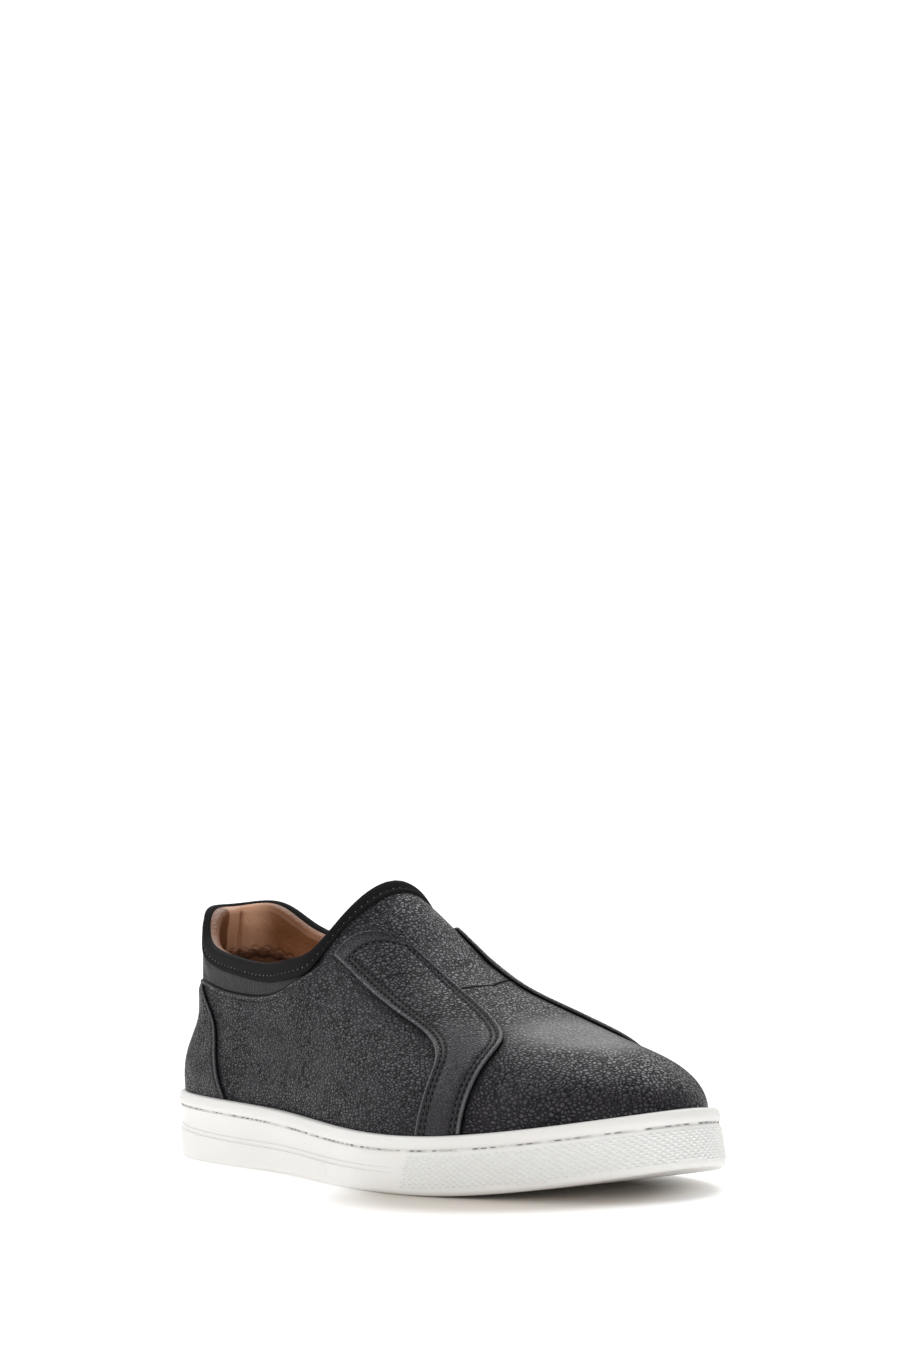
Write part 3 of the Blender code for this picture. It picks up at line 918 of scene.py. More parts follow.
def sheet_of(name, face, back, finish, slot, marks, closed=False, filled=slice(None)):
    """A closed sheet: its face looks out, its back looks in, and its edges are filled.

    `filled` picks the columns where the last row's edge is."""
    rows, columns = face.shape[:2]
    count = rows * columns
    front = grid_faces(rows, columns, closed).reshape(-1, 4)
    rear = front[:, ::-1] + count
    base = np.arange(columns if closed else columns - 1)
    after = (base + 1) % columns
    top = base + (rows - 1) * columns
    top_after = after + (rows - 1) * columns
    edges = [
        np.stack([after, base, base + count, after + count], -1),
        np.stack([top, top_after, top_after + count, top + count], -1)[filled],
    ]
    if not closed:
        left = np.arange(rows - 1) * columns
        right = left + columns - 1
        edges.append(np.stack([left, left + columns, left + columns + count, left + count], -1))
        edges.append(
            np.stack([right + columns, right, right + count, right + columns + count], -1)
        )
    faces = np.concatenate([front, rear, *edges])
    points = np.concatenate([face.reshape(-1, 3), back.reshape(-1, 3)])
    doubled = {mark: np.concatenate([v.ravel(), v.ravel()]) for mark, v in marks.items()}
    return sew(name, points, faces, finish, doubled)


def run_lengths(points, axis):
    """How far along the leather each point of a grid is from the start of its row or column."""
    step = np.linalg.norm(np.diff(points, axis=axis), axis=-1)
    start = np.zeros_like(np.take(step, [0], axis=axis))
    return np.concatenate([start, np.cumsum(step, axis=axis)], axis=axis)


def run_back(points, axis):
    """The same, measured from the end of its row or column."""
    return np.flip(run_lengths(np.flip(points, axis), axis), axis)


print("grid helpers ready")

# %% [markdown]
# ## The cup sole
#
# The sole is a rubber cup that the upper sits in. Its side is one section swept round the
# outline: a rolled tread edge, a wall with a shallow double step in its rear part, a groove
# for the stitches, and a soft lip. The section is written as pairs of inset and height, so a
# step is two pairs close together. The tread's cross grooves are cut with bars.

# %% The cup sole
GAP = 0.0003
TOE_FLARE = 0.0020
FLARE_FROM = 0.45
GROOVE_UNDER_RIM = 0.0046
GROOVE_WIDTH = 0.0011
GROOVE_DEPTH = 0.0005
LIP_ROUND = 0.0017
LIP_SWELL = 0.00035
STEP_IN = 0.00065
STEP_APART = 0.0017
STEP_SOFT = 0.0002
STEP_TWICE = 1.8
STEP_FADES_FROM, STEP_FADES_TO = 0.64, 0.71
# How high the step lies: share of the length, share of the sole's height
STEP_UP_SIDE = [
    (0.00, 0.47),
    (0.15, 0.40),
    (0.35, 0.37),
    (0.70, 0.37),
]
SOLE_STATIONS = 150
LUG_DEPTH = 0.0016
LUG_GROOVE = 0.0024
LUG_SPAN = 0.80
LUG_PLACES = (0.07, 0.11, 0.15, 0.19, 0.50, 0.54, 0.58, 0.62, 0.66, 0.70, 0.74, 0.78, 0.82)


def loop_of(half):
    """Stations all round, from those of the outer side."""
    return np.concatenate([half, TURN - half[-2:0:-1]])


def wall_inset(share, height):
    """How far the sole's wall leans in at a height."""
    flare = TOE_FLARE * ramp(share, FLARE_FROM, 1) ** 2
    return flare * ramp(height, ground(share) + TREAD_EDGE, rim(share) - GROOVE_UNDER_RIM)


def sole_section(station):
    """Rows of inset, height and how deep in the groove, from the tread up into the cup."""
    share = share_at(station)
    low, top = ground(share), rim(share)
    rows = []
    for turn in np.radians((0, 18, 36, 54, 72, 90)):
        rows.append((TREAD_EDGE * (1 - np.sin(turn)), low + TREAD_EDGE * (1 - np.cos(turn)), 0))
    step = STEP_IN * (1 - ramp(share, STEP_FADES_FROM, STEP_FADES_TO))
    first = low + along(STEP_UP_SIDE, share) * (top - low)
    groove = top - GROOVE_UNDER_RIM - GROOVE_WIDTH / 2
    under = groove - GROOVE_WIDTH / 2
    for part in (0.3, 0.6, 0.85):
        height = low + TREAD_EDGE + (first - low - TREAD_EDGE) * part
        rows.append((wall_inset(share, height), height, 0))
    both = STEP_APART + STEP_SOFT
    for level, depth in ((0, 0), (STEP_SOFT, 1), (STEP_APART, 1), (both, STEP_TWICE)):
        height = first + level
        rows.append((wall_inset(share, height) + step * depth, height, 0))
    upper_wall = first + STEP_APART + STEP_SOFT
    for part in (0.3, 0.6, 0.9):
        height = upper_wall + (under - upper_wall) * part
        rows.append((wall_inset(share, height) + step * STEP_TWICE * (1 - part**4), height, 0))
    flare = wall_inset(share, top)
    for turn in np.radians((-90, -60, -30, 0, 30, 60, 90)):
        sunk = GROOVE_DEPTH * np.cos(turn)
        rows.append((flare + sunk, groove + GROOVE_WIDTH / 2 * np.sin(turn), np.cos(turn)))
    for part in (0.15, 0.35, 0.6, 0.85):
        height = groove + GROOVE_WIDTH / 2 + part * (GROOVE_UNDER_RIM - LIP_ROUND)
        rows.append((flare - LIP_SWELL * np.sin(np.pi * part), height, 0))
    for turn in np.radians((0, 22, 45, 68, 90)):
        height = top - LIP_ROUND * (1 - np.sin(turn))
        rows.append((flare + LIP_ROUND * (1 - np.cos(turn)), height, 0))
    cup = foot_inset(share) - GAP
    for inner, drop in ((0.0007, 0.0), (0.0002, 0.0002), (0.0, 0.0007)):
        rows.append((cup - inner, top - drop, 0))
    rows.append((cup, cup_floor(share), 0))
    return rows


def inward(edge, heights, amounts, station):
    """Rows from an edge in to the spine, where the two sides meet."""
    middle_x, middle_y = spine(station)
    rows = []
    for amount in amounts:
        x = edge[:, 0] + (middle_x - edge[:, 0]) * amount
        y = edge[:, 1] + (middle_y - edge[:, 1]) * amount
        rows.append(np.stack([x, y, heights(x / LENGTH)], -1))
    return rows


def make_cup_sole():
    station = loop_of(np.linspace(0, np.pi, SOLE_STATIONS + 1))
    rows, sunk = [], []
    for inset, height, depth in sole_section(station):
        x, y = outline(station, inset)
        rows.append(np.stack([x, y, height + 0 * x], -1))
        sunk.append(depth + 0 * x)
    amounts = np.linspace(0, 1, 7)
    under = inward(rows[0], ground, amounts[:0:-1], station)
    inside = inward(rows[-1], cup_floor, amounts[1:], station)
    points = np.stack(under + rows + inside)
    none = [0 * station]
    marks = {"groove": np.stack(none * len(under) + sunk + none * len(inside))}
    faces = grid_faces(*points.shape[:2], True).reshape(-1, 4)
    sole = sew("cup_sole", points, faces, white_rubber, marks)
    bars = bmesh.new()
    for place in LUG_PLACES:
        outer, inner = BALL_WIDTH * around(OUTLINE, np.array([1, -1]) * station_at(place))
        size = Matrix.Diagonal((LUG_GROOVE, (inner - outer) * LUG_SPAN, 2 * LUG_DEPTH, 1))
        middle = np.array([LENGTH * place, (inner + outer) / 2, ground(place)]) - CENTRE
        bmesh.ops.create_cube(bars, size=1.0, matrix=Matrix.Translation(middle) @ size)
    mesh = bpy.data.meshes.new("lug_bars")
    bars.to_mesh(mesh)
    bars.free()
    cutter = bpy.data.objects.new("lug_bars", mesh)
    bpy.context.scene.collection.objects.link(cutter)
    cut = sole.modifiers.new("Lug grooves", "BOOLEAN")
    cut.operation, cut.solver, cut.object = "DIFFERENCE", "EXACT", cutter
    settle(sole)
    bpy.data.objects.remove(cutter)
    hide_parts("cupsole")
    print("cup sole:", len(LUG_PLACES), "cross grooves,", len(sole.data.polygons), "faces")


def settle(piece):
    """Turns what a piece's modifiers make into its plain mesh."""
    seen = piece.evaluated_get(bpy.context.evaluated_depsgraph_get())
    mesh = bpy.data.meshes.new_from_object(seen)
    piece.modifiers.clear()
    old, piece.data = piece.data, mesh
    bpy.data.meshes.remove(old)
    mesh.name = piece.name


make_cup_sole()

# %% [markdown]
# ## Rows of stitches
#
# A row of stitches is one bead repeated along a path that lies on the leather. Geometry Nodes
# does it: the path is cut into equal lengths, a bead goes on each point, turned so that it
# lies along the path with its top facing out, and each one is sunk a little by chance, as a
# real seam never looks quite even. The same tree sews every seam on the shoe with other sizes.

# %% The stitch tree
STITCH_SIZES = ("Pitch", "Length", "Thickness", "Slant", "Sink", "Uneven")
NAMED_VECTOR = {"data_type": "FLOAT_VECTOR"}
UP_AND_ALONG = {"primary_axis": "Z", "secondary_axis": "X"}


def start_tree(name, inputs):
    """A bench with a new Geometry Nodes tree, and a wire from each of its inputs."""
    tree = bpy.data.node_groups.new(name, "GeometryNodeTree")
    for socket, kind in inputs:
        tree.interface.new_socket(socket, in_out="INPUT", socket_type="NodeSocket" + kind)
    tree.interface.new_socket("Made", in_out="OUTPUT", socket_type="NodeSocketGeometry")
    bench = Bench(tree)
    given = tree.nodes.new("NodeGroupInput")
    return bench, {socket.name: Wire(bench, socket) for socket in given.outputs if socket.name}


def end_tree(bench, geometry, material):
    """Gives what the tree made its material, and sends it out."""
    sockets = {"Geometry": geometry, "Material": material}
    done = bench.node("GeometryNodeSetMaterial", None, sockets)
    end = bench.tree.nodes.new("NodeGroupOutput")
    bench.tree.links.new(done.socket, end.inputs[0])
    return bench.tree


def stitch_tree():
    inputs = [("Path", "Geometry"), *((name, "Float") for name in STITCH_SIZES)]
    inputs += [("Seed", "Int"), ("Thread", "Material")]
    bench, take = start_tree("stitch_row", inputs)
    curve = bench.node("GeometryNodeMeshToCurve", None, {"Mesh": take["Path"]})
    spaced = bench.node(
        "GeometryNodeResampleCurve", {"mode": "LENGTH"}, {"Curve": curve, "Length": take["Pitch"]}
    )
    bead = bench.node("GeometryNodeMeshUVSphere", None, {"Segments": 8, "Rings": 5, "Radius": 0.5})
    size = bench.node(
        "ShaderNodeCombineXYZ",
        None,
        {"X": take["Length"], "Y": take["Thickness"], "Z": take["Thickness"]},
    )
    slant = bench.node("ShaderNodeCombineXYZ", None, {"Z": take["Slant"]})
    stitch = bench.node(
        "GeometryNodeTransform", None, {"Geometry": bead, "Scale": size, "Rotation": slant}
    )
    out = bench.node("GeometryNodeInputNamedAttribute", NAMED_VECTOR, {"Name": "facing"})
    way = bench.node("GeometryNodeInputTangent")
    axes = {"Primary Axis": out, "Secondary Axis": way}
    turn = bench.node("FunctionNodeAxesToRotation", UP_AND_ALONG, axes)
    placed = bench.node(
        "GeometryNodeInstanceOnPoints",
        None,
        {"Points": spaced, "Instance": stitch, "Rotation": turn},
    )
    chance = bench.node(
        "FunctionNodeRandomValue", {"data_type": "FLOAT"}, {"Seed": take["Seed"]}, out=1
    )
    down = (take["Sink"] + take["Uneven"] * chance) * -1.0
    move = bench.node("ShaderNodeCombineXYZ", None, {"Z": down})
    sunk = bench.node(
        "GeometryNodeTranslateInstances", None, {"Instances": placed, "Translation": move}
    )
    real = bench.node("GeometryNodeRealizeInstances", None, {"Geometry": sunk})
    soft = bench.node("GeometryNodeSetShadeSmooth", None, {"Geometry": real})
    return end_tree(bench, soft, take["Thread"])


def dress(piece, tree, values):
    """Runs a tree on a piece with these inputs, and keeps what it makes as a plain mesh."""
    modifier = piece.modifiers.new(tree.name, "NODES")
    modifier.node_group = tree
    for item in tree.interface.items_tree:
        if item.name in values:
            modifier[item.identifier] = values[item.name]
    settle(piece)


def lay_points(name, points, edges, vectors):
    """Points in heel coordinates with a vector value or two on each."""
    mesh = bpy.data.meshes.new(name)
    mesh.from_pydata((points - CENTRE).tolist(), edges, [])
    for mark, values in vectors.items():
        painted = mesh.attributes.new(mark, "FLOAT_VECTOR", "POINT")
        painted.data.foreach_set("vector", np.asarray(values, np.float32).ravel())
    piece = bpy.data.objects.new(name, mesh)
    bpy.context.scene.collection.objects.link(piece)
    return piece


def sew_stitches(name, paths, thread, slot, pitch, length, thickness, **more):
    """Stitches along paths, each a pair of points and the way the leather faces there."""
    points = np.concatenate([path for path, _ in paths])
    out = np.concatenate([way for _, way in paths])
    edges, start = [], 0
    for path, _ in paths:
        edges += [(start + i, start + i + 1) for i in range(len(path) - 1)]
        start += len(path)
    piece = lay_points(name, points, edges, {"facing": out})
    values = {"Pitch": pitch, "Length": length, "Thickness": thickness, "Thread": thread}
    values |= {"Slant": 0.0, "Sink": 0.0, "Uneven": 0.0, "Seed": 3} | more
    dress(piece, stitches, values)
    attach(piece, "root")
    print(f"{name}: {len(piece.data.polygons)} faces")


stitches = stitch_tree()

# %% [markdown]
# ## Stitches in the sole's groove
#
# The upper is sewn to the cup through the groove. The grey thread lies deep, so it shows as
# a broken dark line: here and there a stitch stands proud, and between them only the groove
# is seen. That is what the uneven sink is for.

# %% Stitches in the sole's groove
THREAD_DEEP = 0.62


def groove_path():
    station = np.linspace(0, TURN, ROUND_STEPS)
    share = share_at(station)
    x, y = outline(station, wall_inset(share, rim(share)) + GROOVE_DEPTH * THREAD_DEEP)
    z = rim(share) - GROOVE_UNDER_RIM - GROOVE_WIDTH / 2
    points = np.stack([x, y, z], -1)
    ahead = np.gradient(points, axis=0)
    return points, unit(np.cross(ahead, (0.0, 0.0, 1.0)))


sew_stitches(
    "groove_stitches",
    [groove_path()],
    grey_thread,
    "sole_rubber",
    pitch=0.0036,
    length=0.0029,
    thickness=0.00048,
    Uneven=0.00060,
)

# %% [markdown]
# ## The diamond grip round the toe
#
# From the ball forward the sole's side carries a fine diamond pattern, with a plain border
# above and below. Each diamond is a low pyramid. Its place is worked out along the sole's own
# edge, so the pattern stays regular round the tight curve of the toe, and a second Geometry
# Nodes tree puts a four-sided cone on each place.

# %% The diamond grip
STUD_WIDE = 0.0032
STUD_TALL = 0.0019
STUD_PROUD = 0.00055
STUD_BEDDED = 0.00006
GRIP_FROM = 0.700
GRIP_SLANT = 0.30
GRIP_UNDER_GROOVE = 0.0016
GRIP_OVER_TREAD = 0.0030
GRIP_MARGIN = 0.12
GRIP_STEPS = 2001
GRIP_MOST_ROWS = 60


def stud_tree():
    inputs = [("Places", "Geometry"), *((name, "Float") for name in ("Wide", "Tall", "Proud"))]
    bench, take = start_tree("diamond_grip", [*inputs, ("Rubber", "Material")])
    sides = {"Vertices": 4, "Radius Top": 0.0, "Radius Bottom": 0.5, "Depth": 1.0}
    pyramid = bench.node("GeometryNodeMeshCone", None, sides)
    size = bench.node(
        "ShaderNodeCombineXYZ", None, {"X": take["Wide"], "Y": take["Tall"], "Z": take["Proud"]}
    )
    stud = bench.node("GeometryNodeTransform", None, {"Geometry": pyramid, "Scale": size})
    out = bench.node("GeometryNodeInputNamedAttribute", NAMED_VECTOR, {"Name": "facing"})
    way = bench.node("GeometryNodeInputNamedAttribute", NAMED_VECTOR, {"Name": "along"})
    axes = {"Primary Axis": out, "Secondary Axis": way}
    turn = bench.node("FunctionNodeAxesToRotation", UP_AND_ALONG, axes)
    dots = bench.node("GeometryNodeMeshToPoints", None, {"Mesh": take["Places"]})
    placed = bench.node(
        "GeometryNodeInstanceOnPoints", None, {"Points": dots, "Instance": stud, "Rotation": turn}
    )
    real = bench.node("GeometryNodeRealizeInstances", None, {"Geometry": placed})
    return end_tree(bench, real, take["Rubber"])


def wall_point(station, height):
    x, y = outline(station, wall_inset(share_at(station), height))
    return np.stack([x, y, height + 0 * x], -1)


def make_grip():
    start = station_at(GRIP_FROM) - GRIP_MARGIN
    station = np.linspace(start, TURN - start, GRIP_STEPS)
    share = share_at(station)
    way = np.concatenate([[0], np.cumsum(np.hypot(*np.diff(np.array(outline(station)), axis=1)))])
    top = rim(share) - GROOVE_UNDER_RIM - GROOVE_WIDTH - GRIP_UNDER_GROOVE
    low = ground(share) + GRIP_OVER_TREAD
    first, last = np.interp([station_at(GRIP_FROM), TURN - station_at(GRIP_FROM)], station, way)
    places = []
    for row in range(GRIP_MOST_ROWS):
        offset = (row % 2) * STUD_WIDE / 2
        spots = np.arange(way[0] + offset, way[-1], STUD_WIDE)
        height = np.interp(spots, way, top) - row * STUD_TALL / 2
        back = GRIP_SLANT * row * STUD_TALL / 2
        kept = (height > np.interp(spots, way, low)) & (spots > first - back)
        kept &= spots < last + back
        places.append(np.stack([np.interp(spots, way, station), height], -1)[kept])
    where = np.concatenate(places)
    at, height = where[:, 0], where[:, 1]
    points = wall_point(at, height)
    ahead = unit(wall_point(at + NUDGE, height) - wall_point(at - NUDGE, height))
    upward = unit(wall_point(at, height + NUDGE) - wall_point(at, height - NUDGE))
    out = unit(np.cross(ahead, upward))
    ways = {"facing": out, "along": ahead}
    piece = lay_points("diamond_grip", points - out * STUD_BEDDED, [], ways)
    sizes = {"Wide": STUD_WIDE, "Tall": STUD_TALL, "Proud": STUD_PROUD + STUD_BEDDED}
    dress(piece, stud_tree(), sizes | {"Rubber": white_rubber})
    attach(piece, "root")
    print(f"diamond_grip: {len(points)} diamonds")


make_grip()

# %% [markdown]
# ## The seams on the last
#
# The upper is several panels of leather, but on this shoe they lie edge to edge under the
# straps, so one shell carries them and their seams are worked into its surface. Two seams
# show: the quarter's raised top edge, with a smooth strip above it, and the seam across the
# vamp. Soft creases and dents are listed as lines on the last, each with its own width and
# depth, and every one of them is placed from the picture.

# %% Seams and creases
# The quarter's top edge: share of the length, outer and inner height as shares of the heel
QUARTER_TOP = [
    (0.000, 0.699, 0.699),
    (0.078, 0.699, 0.705),
    (0.145, 0.676, 0.694),
    (0.210, 0.664, 0.690),
    (0.275, 0.665, 0.690),
    (0.331, 0.695, 0.716),
    (0.378, 0.745, 0.762),
    (0.417, 0.799, 0.810),
    (0.435, 0.836, 0.845),
    (0.600, 0.840, 0.850),
    (1.000, 0.840, 0.850),
]
VAMP_SEAM = 0.629
VAMP_SEAM_OUTER = 0.044
VAMP_SEAM_INNER = 0.122
VAMP_SEAM_FROM, VAMP_SEAM_FULL = 0.50, 0.70
SEAM_REACH = 0.06
SEAM_WAVE = 0.0007
SEAM_WAVES = 9
# Soft creases: side (1 outer, -1 inner), then share and climb of each end, then width and
# depth in millimetres. A depth below zero is a raised fold.
CREASES = [
    (1, 0.900, 0.62, 0.955, 0.36, 2.6, 0.40),
    (1, 0.925, 0.66, 0.972, 0.42, 1.8, 0.30),
    (1, 0.930, 0.40, 0.945, 0.12, 1.5, 0.22),
    (1, 0.948, 0.42, 0.962, 0.10, 1.3, 0.20),
    (1, 0.962, 0.40, 0.976, 0.10, 1.2, 0.18),
    (1, 0.975, 0.38, 0.986, 0.10, 1.2, 0.16),
    (-1, 0.930, 0.42, 0.948, 0.12, 1.5, 0.20),
    (-1, 0.955, 0.40, 0.970, 0.10, 1.4, 0.18),
    (1, 0.520, 0.97, 0.560, 0.86, 4.0, 0.45),
    (1, 0.570, 0.98, 0.600, 0.87, 3.2, 0.35),
    (1, 0.545, 0.98, 0.580, 0.86, 3.0, -0.25),
    (1, 0.690, 0.96, 0.700, 0.84, 5.0, 0.35),
    (-1, 0.540, 0.95, 0.580, 0.80, 4.0, 0.35),
    (1, 0.800, 0.30, 0.870, 0.16, 3.5, 0.35),
    (1, 0.810, 0.48, 0.870, 0.34, 4.5, 0.30),
    (1, 0.655, 0.30, 0.690, 0.06, 3.5, 0.30),
    (1, 0.230, 0.16, 0.420, 0.20, 7.0, 0.35),
    (1, 0.320, 0.30, 0.460, 0.36, 6.0, -0.25),
    (-1, 0.250, 0.18, 0.430, 0.22, 7.0, 0.35),
    (-1, 0.640, 0.45, 0.690, 0.20, 5.0, 0.35),
    (1, 0.055, 0.350, 0.082, 0.318, 1.4, 0.45),
    (1, 0.060, 0.385, 0.095, 0.345, 1.2, -0.30),
    (1, 0.000, 0.150, 0.030, 0.05, 3.0, 0.20),
    (-1, 0.000, 0.200, 0.050, 0.08, 3.5, 0.25),
]


def seam_shift(station, climb):
    """How far the vamp seam bends from one plane, as a share of the length."""
    down = ease(climb, VAMP_SEAM_FROM, VAMP_SEAM_FULL) * (1 - climb)
    outer = station <= np.pi
    bend = -np.where(outer, VAMP_SEAM_OUTER, VAMP_SEAM_INNER) * down
    wave = SEAM_WAVE * np.sin(SEAM_WAVES * TURN * climb)
    return bend + wave * ease(climb, VAMP_SEAM_FROM, 0.8) * (1 - climb)


def creased(points, height):
    """Takes the soft creases out of a height over the last, at these points."""
    for side, share_a, climb_a, share_b, climb_b, width, depth in CREASES:
        ends = station_at(np.array([share_a, share_b]))
        ends = ends if side > 0 else TURN - ends
        start, end = skin(ends, np.array([climb_a, climb_b]))
        way = end - start
        part = np.clip(((points - start) @ way) / (way @ way), 0, 1)
        away = np.linalg.norm(points - start - part[..., None] * way, axis=-1)
        taper = np.sin(np.pi * np.clip(part, 0.04, 0.96))
        height = height - depth / 1000 * hump(away, 0.0, width / 1000) * taper
    return height


print("seams: 2,", "creases:", len(CREASES))

# %% [markdown]
# ## Side straps, worked out first
#
# The straps lie over the upper, which sinks a little along their edges. So their outlines
# are worked out before the upper is made. A strap runs from the throat down to the sole. Its
# table gives its rear and front edges, row by row on the way down.

# %% Strap outlines
STRAP = [
    (0.442, 0.52, 0.518, 0.80),
    (0.521, 0.53, 0.583, 0.85),
    (0.596, 0.55, 0.662, 0.84),
    (0.662, 0.53, 0.735, 0.77),
    (0.703, 0.44, 0.775, 0.66),
    (0.715, 0.32, 0.785, 0.46),
    (0.715, 0.17, 0.785, 0.24),
    (0.708, 0.02, 0.779, 0.03),
]
STRAP_CROWN = 0.013
CROWN_FADE = 4
INNER_STRAP_DROP = 0.07
INNER_STRAP_BACK = 0.025
STRAP_ROWS = 210
STRAP_COLUMNS = 84
ROWS_NEAR_TOP = 1.5


def strap_chart(outer_side):
    """Stations and climbs over a strap, rows from its rear to its front edge."""
    down = np.linspace(0, 1, STRAP_ROWS) ** ROWS_NEAR_TOP
    knots = np.linspace(0, 1, len(STRAP))
    rear_share, rear_climb, front_share, front_climb = (
        spline(knots, column(STRAP, number), down) for number in range(4)
    )
    drop = 0 if outer_side else INNER_STRAP_DROP * np.sqrt(1 - down)
    back = 0 if outer_side else INNER_STRAP_BACK * (1 - down) ** 2
    stations, climbs = [], []
    for part in 0.5 - 0.5 * np.cos(np.linspace(0, np.pi, STRAP_COLUMNS)):
        crown = STRAP_CROWN * np.sin(np.pi * part) * (1 - down) ** CROWN_FADE
        share = rear_share + (front_share - back - rear_share) * part - crown
        climb = rear_climb + (front_climb - rear_climb) * part - drop
        station = station_at(share) if outer_side else TURN - station_at(share)
        low = climb_to(station, rim(share_at(station)) + GAP)
        climb = low + (climb - climb[-1]) * (climb[0] - low) / (climb[0] - climb[-1])
        stations.append(station)
        climbs.append(climb)
    if not outer_side:
        stations.reverse()
        climbs.reverse()
    return np.stack(stations), np.stack(climbs)


charts = {side: strap_chart(side) for side in (True, False)}


def strap_edges():
    """Points along both straps' edges, for the leather that sinks beside them."""
    edges = []
    for station, climb in charts.values():
        face = skin(station, climb)
        edges += [face[0], face[-1], face[:, 0]]
    return np.concatenate(edges)[::2]


print("strap outlines:", [chart[0].shape for chart in charts.values()])

# %% [markdown]
# ## The upper
#
# The upper is one hollow shell of leather, open at the collar and underneath. Its rows of
# points crowd together at the quarter's top seam and its columns at the vamp seam, so both
# seams are real steps in the mesh, while the rest stays light. Where the two sides meet on
# the ridge they share their points. The inner wall follows at the leather's thickness.

# %% The upper
LOW_ROWS = 42
HIGH_ROWS = 38
ROW_CROWDING = 1.7
SEAM_OFFSETS = (0.25, 0.5, 0.8, 1.2, 1.8, 2.6)
SEAM_DEPTH = 0.00055
SEAM_WIDTH = 0.00030
FOLD_RISE = 0.00018
FOLD_BEHIND, FOLD_WIDTH = 0.0013, 0.0010
STRIP_SUNK = 0.00065
QUARTER_FOLD = 0.00036
QUARTER_SEAM_DOWN = 0.0022
STRAP_SINK = 0.00022
STRAP_SINK_WIDTH = 0.0012
WAVINESS = 0.00009
THROAT_FADE = 0.030
FRONT_COLUMNS = 104
SEAM_CLEAR = 0.004
BLOCK = 4000


def stations_to_throat(behind, rising):
    """Stations from the heel to the throat, crowded where the collar turns up."""
    heel = np.linspace(0, station_at(THROAT - THROAT_REACH), behind)
    across = np.linspace(1, 0, rising)[1:-1]
    forward = np.sqrt(1 - across ** (2 / THROAT_ROUND))
    return np.concatenate([heel, station_at(THROAT - THROAT_REACH * (1 - forward))])


def upper_stations():
    front = np.linspace(station_at(THROAT), np.pi, FRONT_COLUMNS)
    offsets = np.array(SEAM_OFFSETS) / 1000 / LENGTH
    seam = station_at(VAMP_SEAM + np.concatenate([-offsets[::-1], [0.0], offsets]))
    clear = (front < seam[0] - SEAM_CLEAR) | (front > seam[-1] + SEAM_CLEAR)
    front = np.sort(np.concatenate([front[clear], seam]))
    return loop_of(np.concatenate([stations_to_throat(46, 25), front]))


def upper_chart():
    """Bent stations and climbs of the upper's rows, the top seam's climb, plain stations."""
    station = upper_stations()
    edge = collar(station)
    seam = climb_to(station, HEEL_HEIGHT * around(QUARTER_TOP, station))
    seam = np.minimum(seam, edge * 0.93)
    low = 1 - (1 - np.linspace(0, 1, LOW_ROWS)) ** ROW_CROWDING
    high = np.linspace(0, 1, HIGH_ROWS)[1:] ** ROW_CROWDING
    climb = np.concatenate([seam * low[:, None], seam + (edge - seam) * high[:, None]])
    near = hump(share_at(station), VAMP_SEAM, SEAM_REACH)
    bent = station_at(share_at(station) + seam_shift(station, climb) * near)
    bent = np.where(station <= np.pi, bent, TURN - bent)
    return np.where(near > 1e-3, bent, station + 0 * climb), climb, seam, station


def upper_relief(climb, seam, plain, points):
    """How far the leather's face stands off the last."""
    share = share_at(plain) + 0 * climb
    across = (share - VAMP_SEAM) * LENGTH
    here = ease(climb, VAMP_SEAM_FROM, VAMP_SEAM_FULL)
    height = -SEAM_DEPTH * hump(across, 0.0, SEAM_WIDTH) * here
    height += FOLD_RISE * hump(across, FOLD_BEHIND, FOLD_WIDTH) * here
    above = points[..., 2] - skin(plain, seam)[None, :, 2]
    there = 1 - ease(share, THROAT - THROAT_FADE, THROAT - 0.006)
    fold = hump(above, -0.0006, 0.0004) * QUARTER_FOLD
    fold -= hump(above, -QUARTER_SEAM_DOWN, 0.0005) * 0.00025
    height += (fold - STRIP_SUNK * ease(above, 0.0, 0.0004)) * there
    pinched = near_points(points, strap_edges())
    height -= STRAP_SINK * np.exp(-pinched / STRAP_SINK_WIDTH)
    wave = np.sin(points[..., 0] * 190 + 2 * np.sin(points[..., 2] * 140))
    height += WAVINESS * wave * np.sin(points[..., 2] * 210 + points[..., 0] * 60)
    return creased(points, height)


def near_points(points, others):
    """The distance from each point to the nearest of the others."""
    flat = points.reshape(-1, 3)
    found = np.empty(len(flat))
    for start in range(0, len(flat), BLOCK):
        block = flat[start : start + BLOCK]
        squares = (block**2).sum(1)[:, None] + (others**2).sum(1) - 2 * block @ others.T
        found[start : start + BLOCK] = np.sqrt(np.maximum(squares, 0).min(1))
    return found.reshape(points.shape[:-1])


def level_ridge(values, climb):
    """Gives the two sides one value where they meet on the ridge."""
    mirrored = np.roll(values[:, ::-1], 1, axis=1)
    same = climb > FULL_CLIMB
    same = same[..., None] if values.ndim == 3 else same
    return np.where(same, (values + mirrored) / 2, values)


def open_columns(edge):
    """True where a face at the edge isn't closed by the ridge at both its ends."""
    is_open = edge < FULL_CLIMB
    return is_open | np.roll(is_open, -1)


def foot_row(station, inside):
    """Points on the cup's floor, this far inside the upper's foot."""
    share = share_at(station)
    x, y = outline(station, foot_inset(share) + inside)
    return np.stack([x, y, cup_floor(share) + GAP], -1)[None]


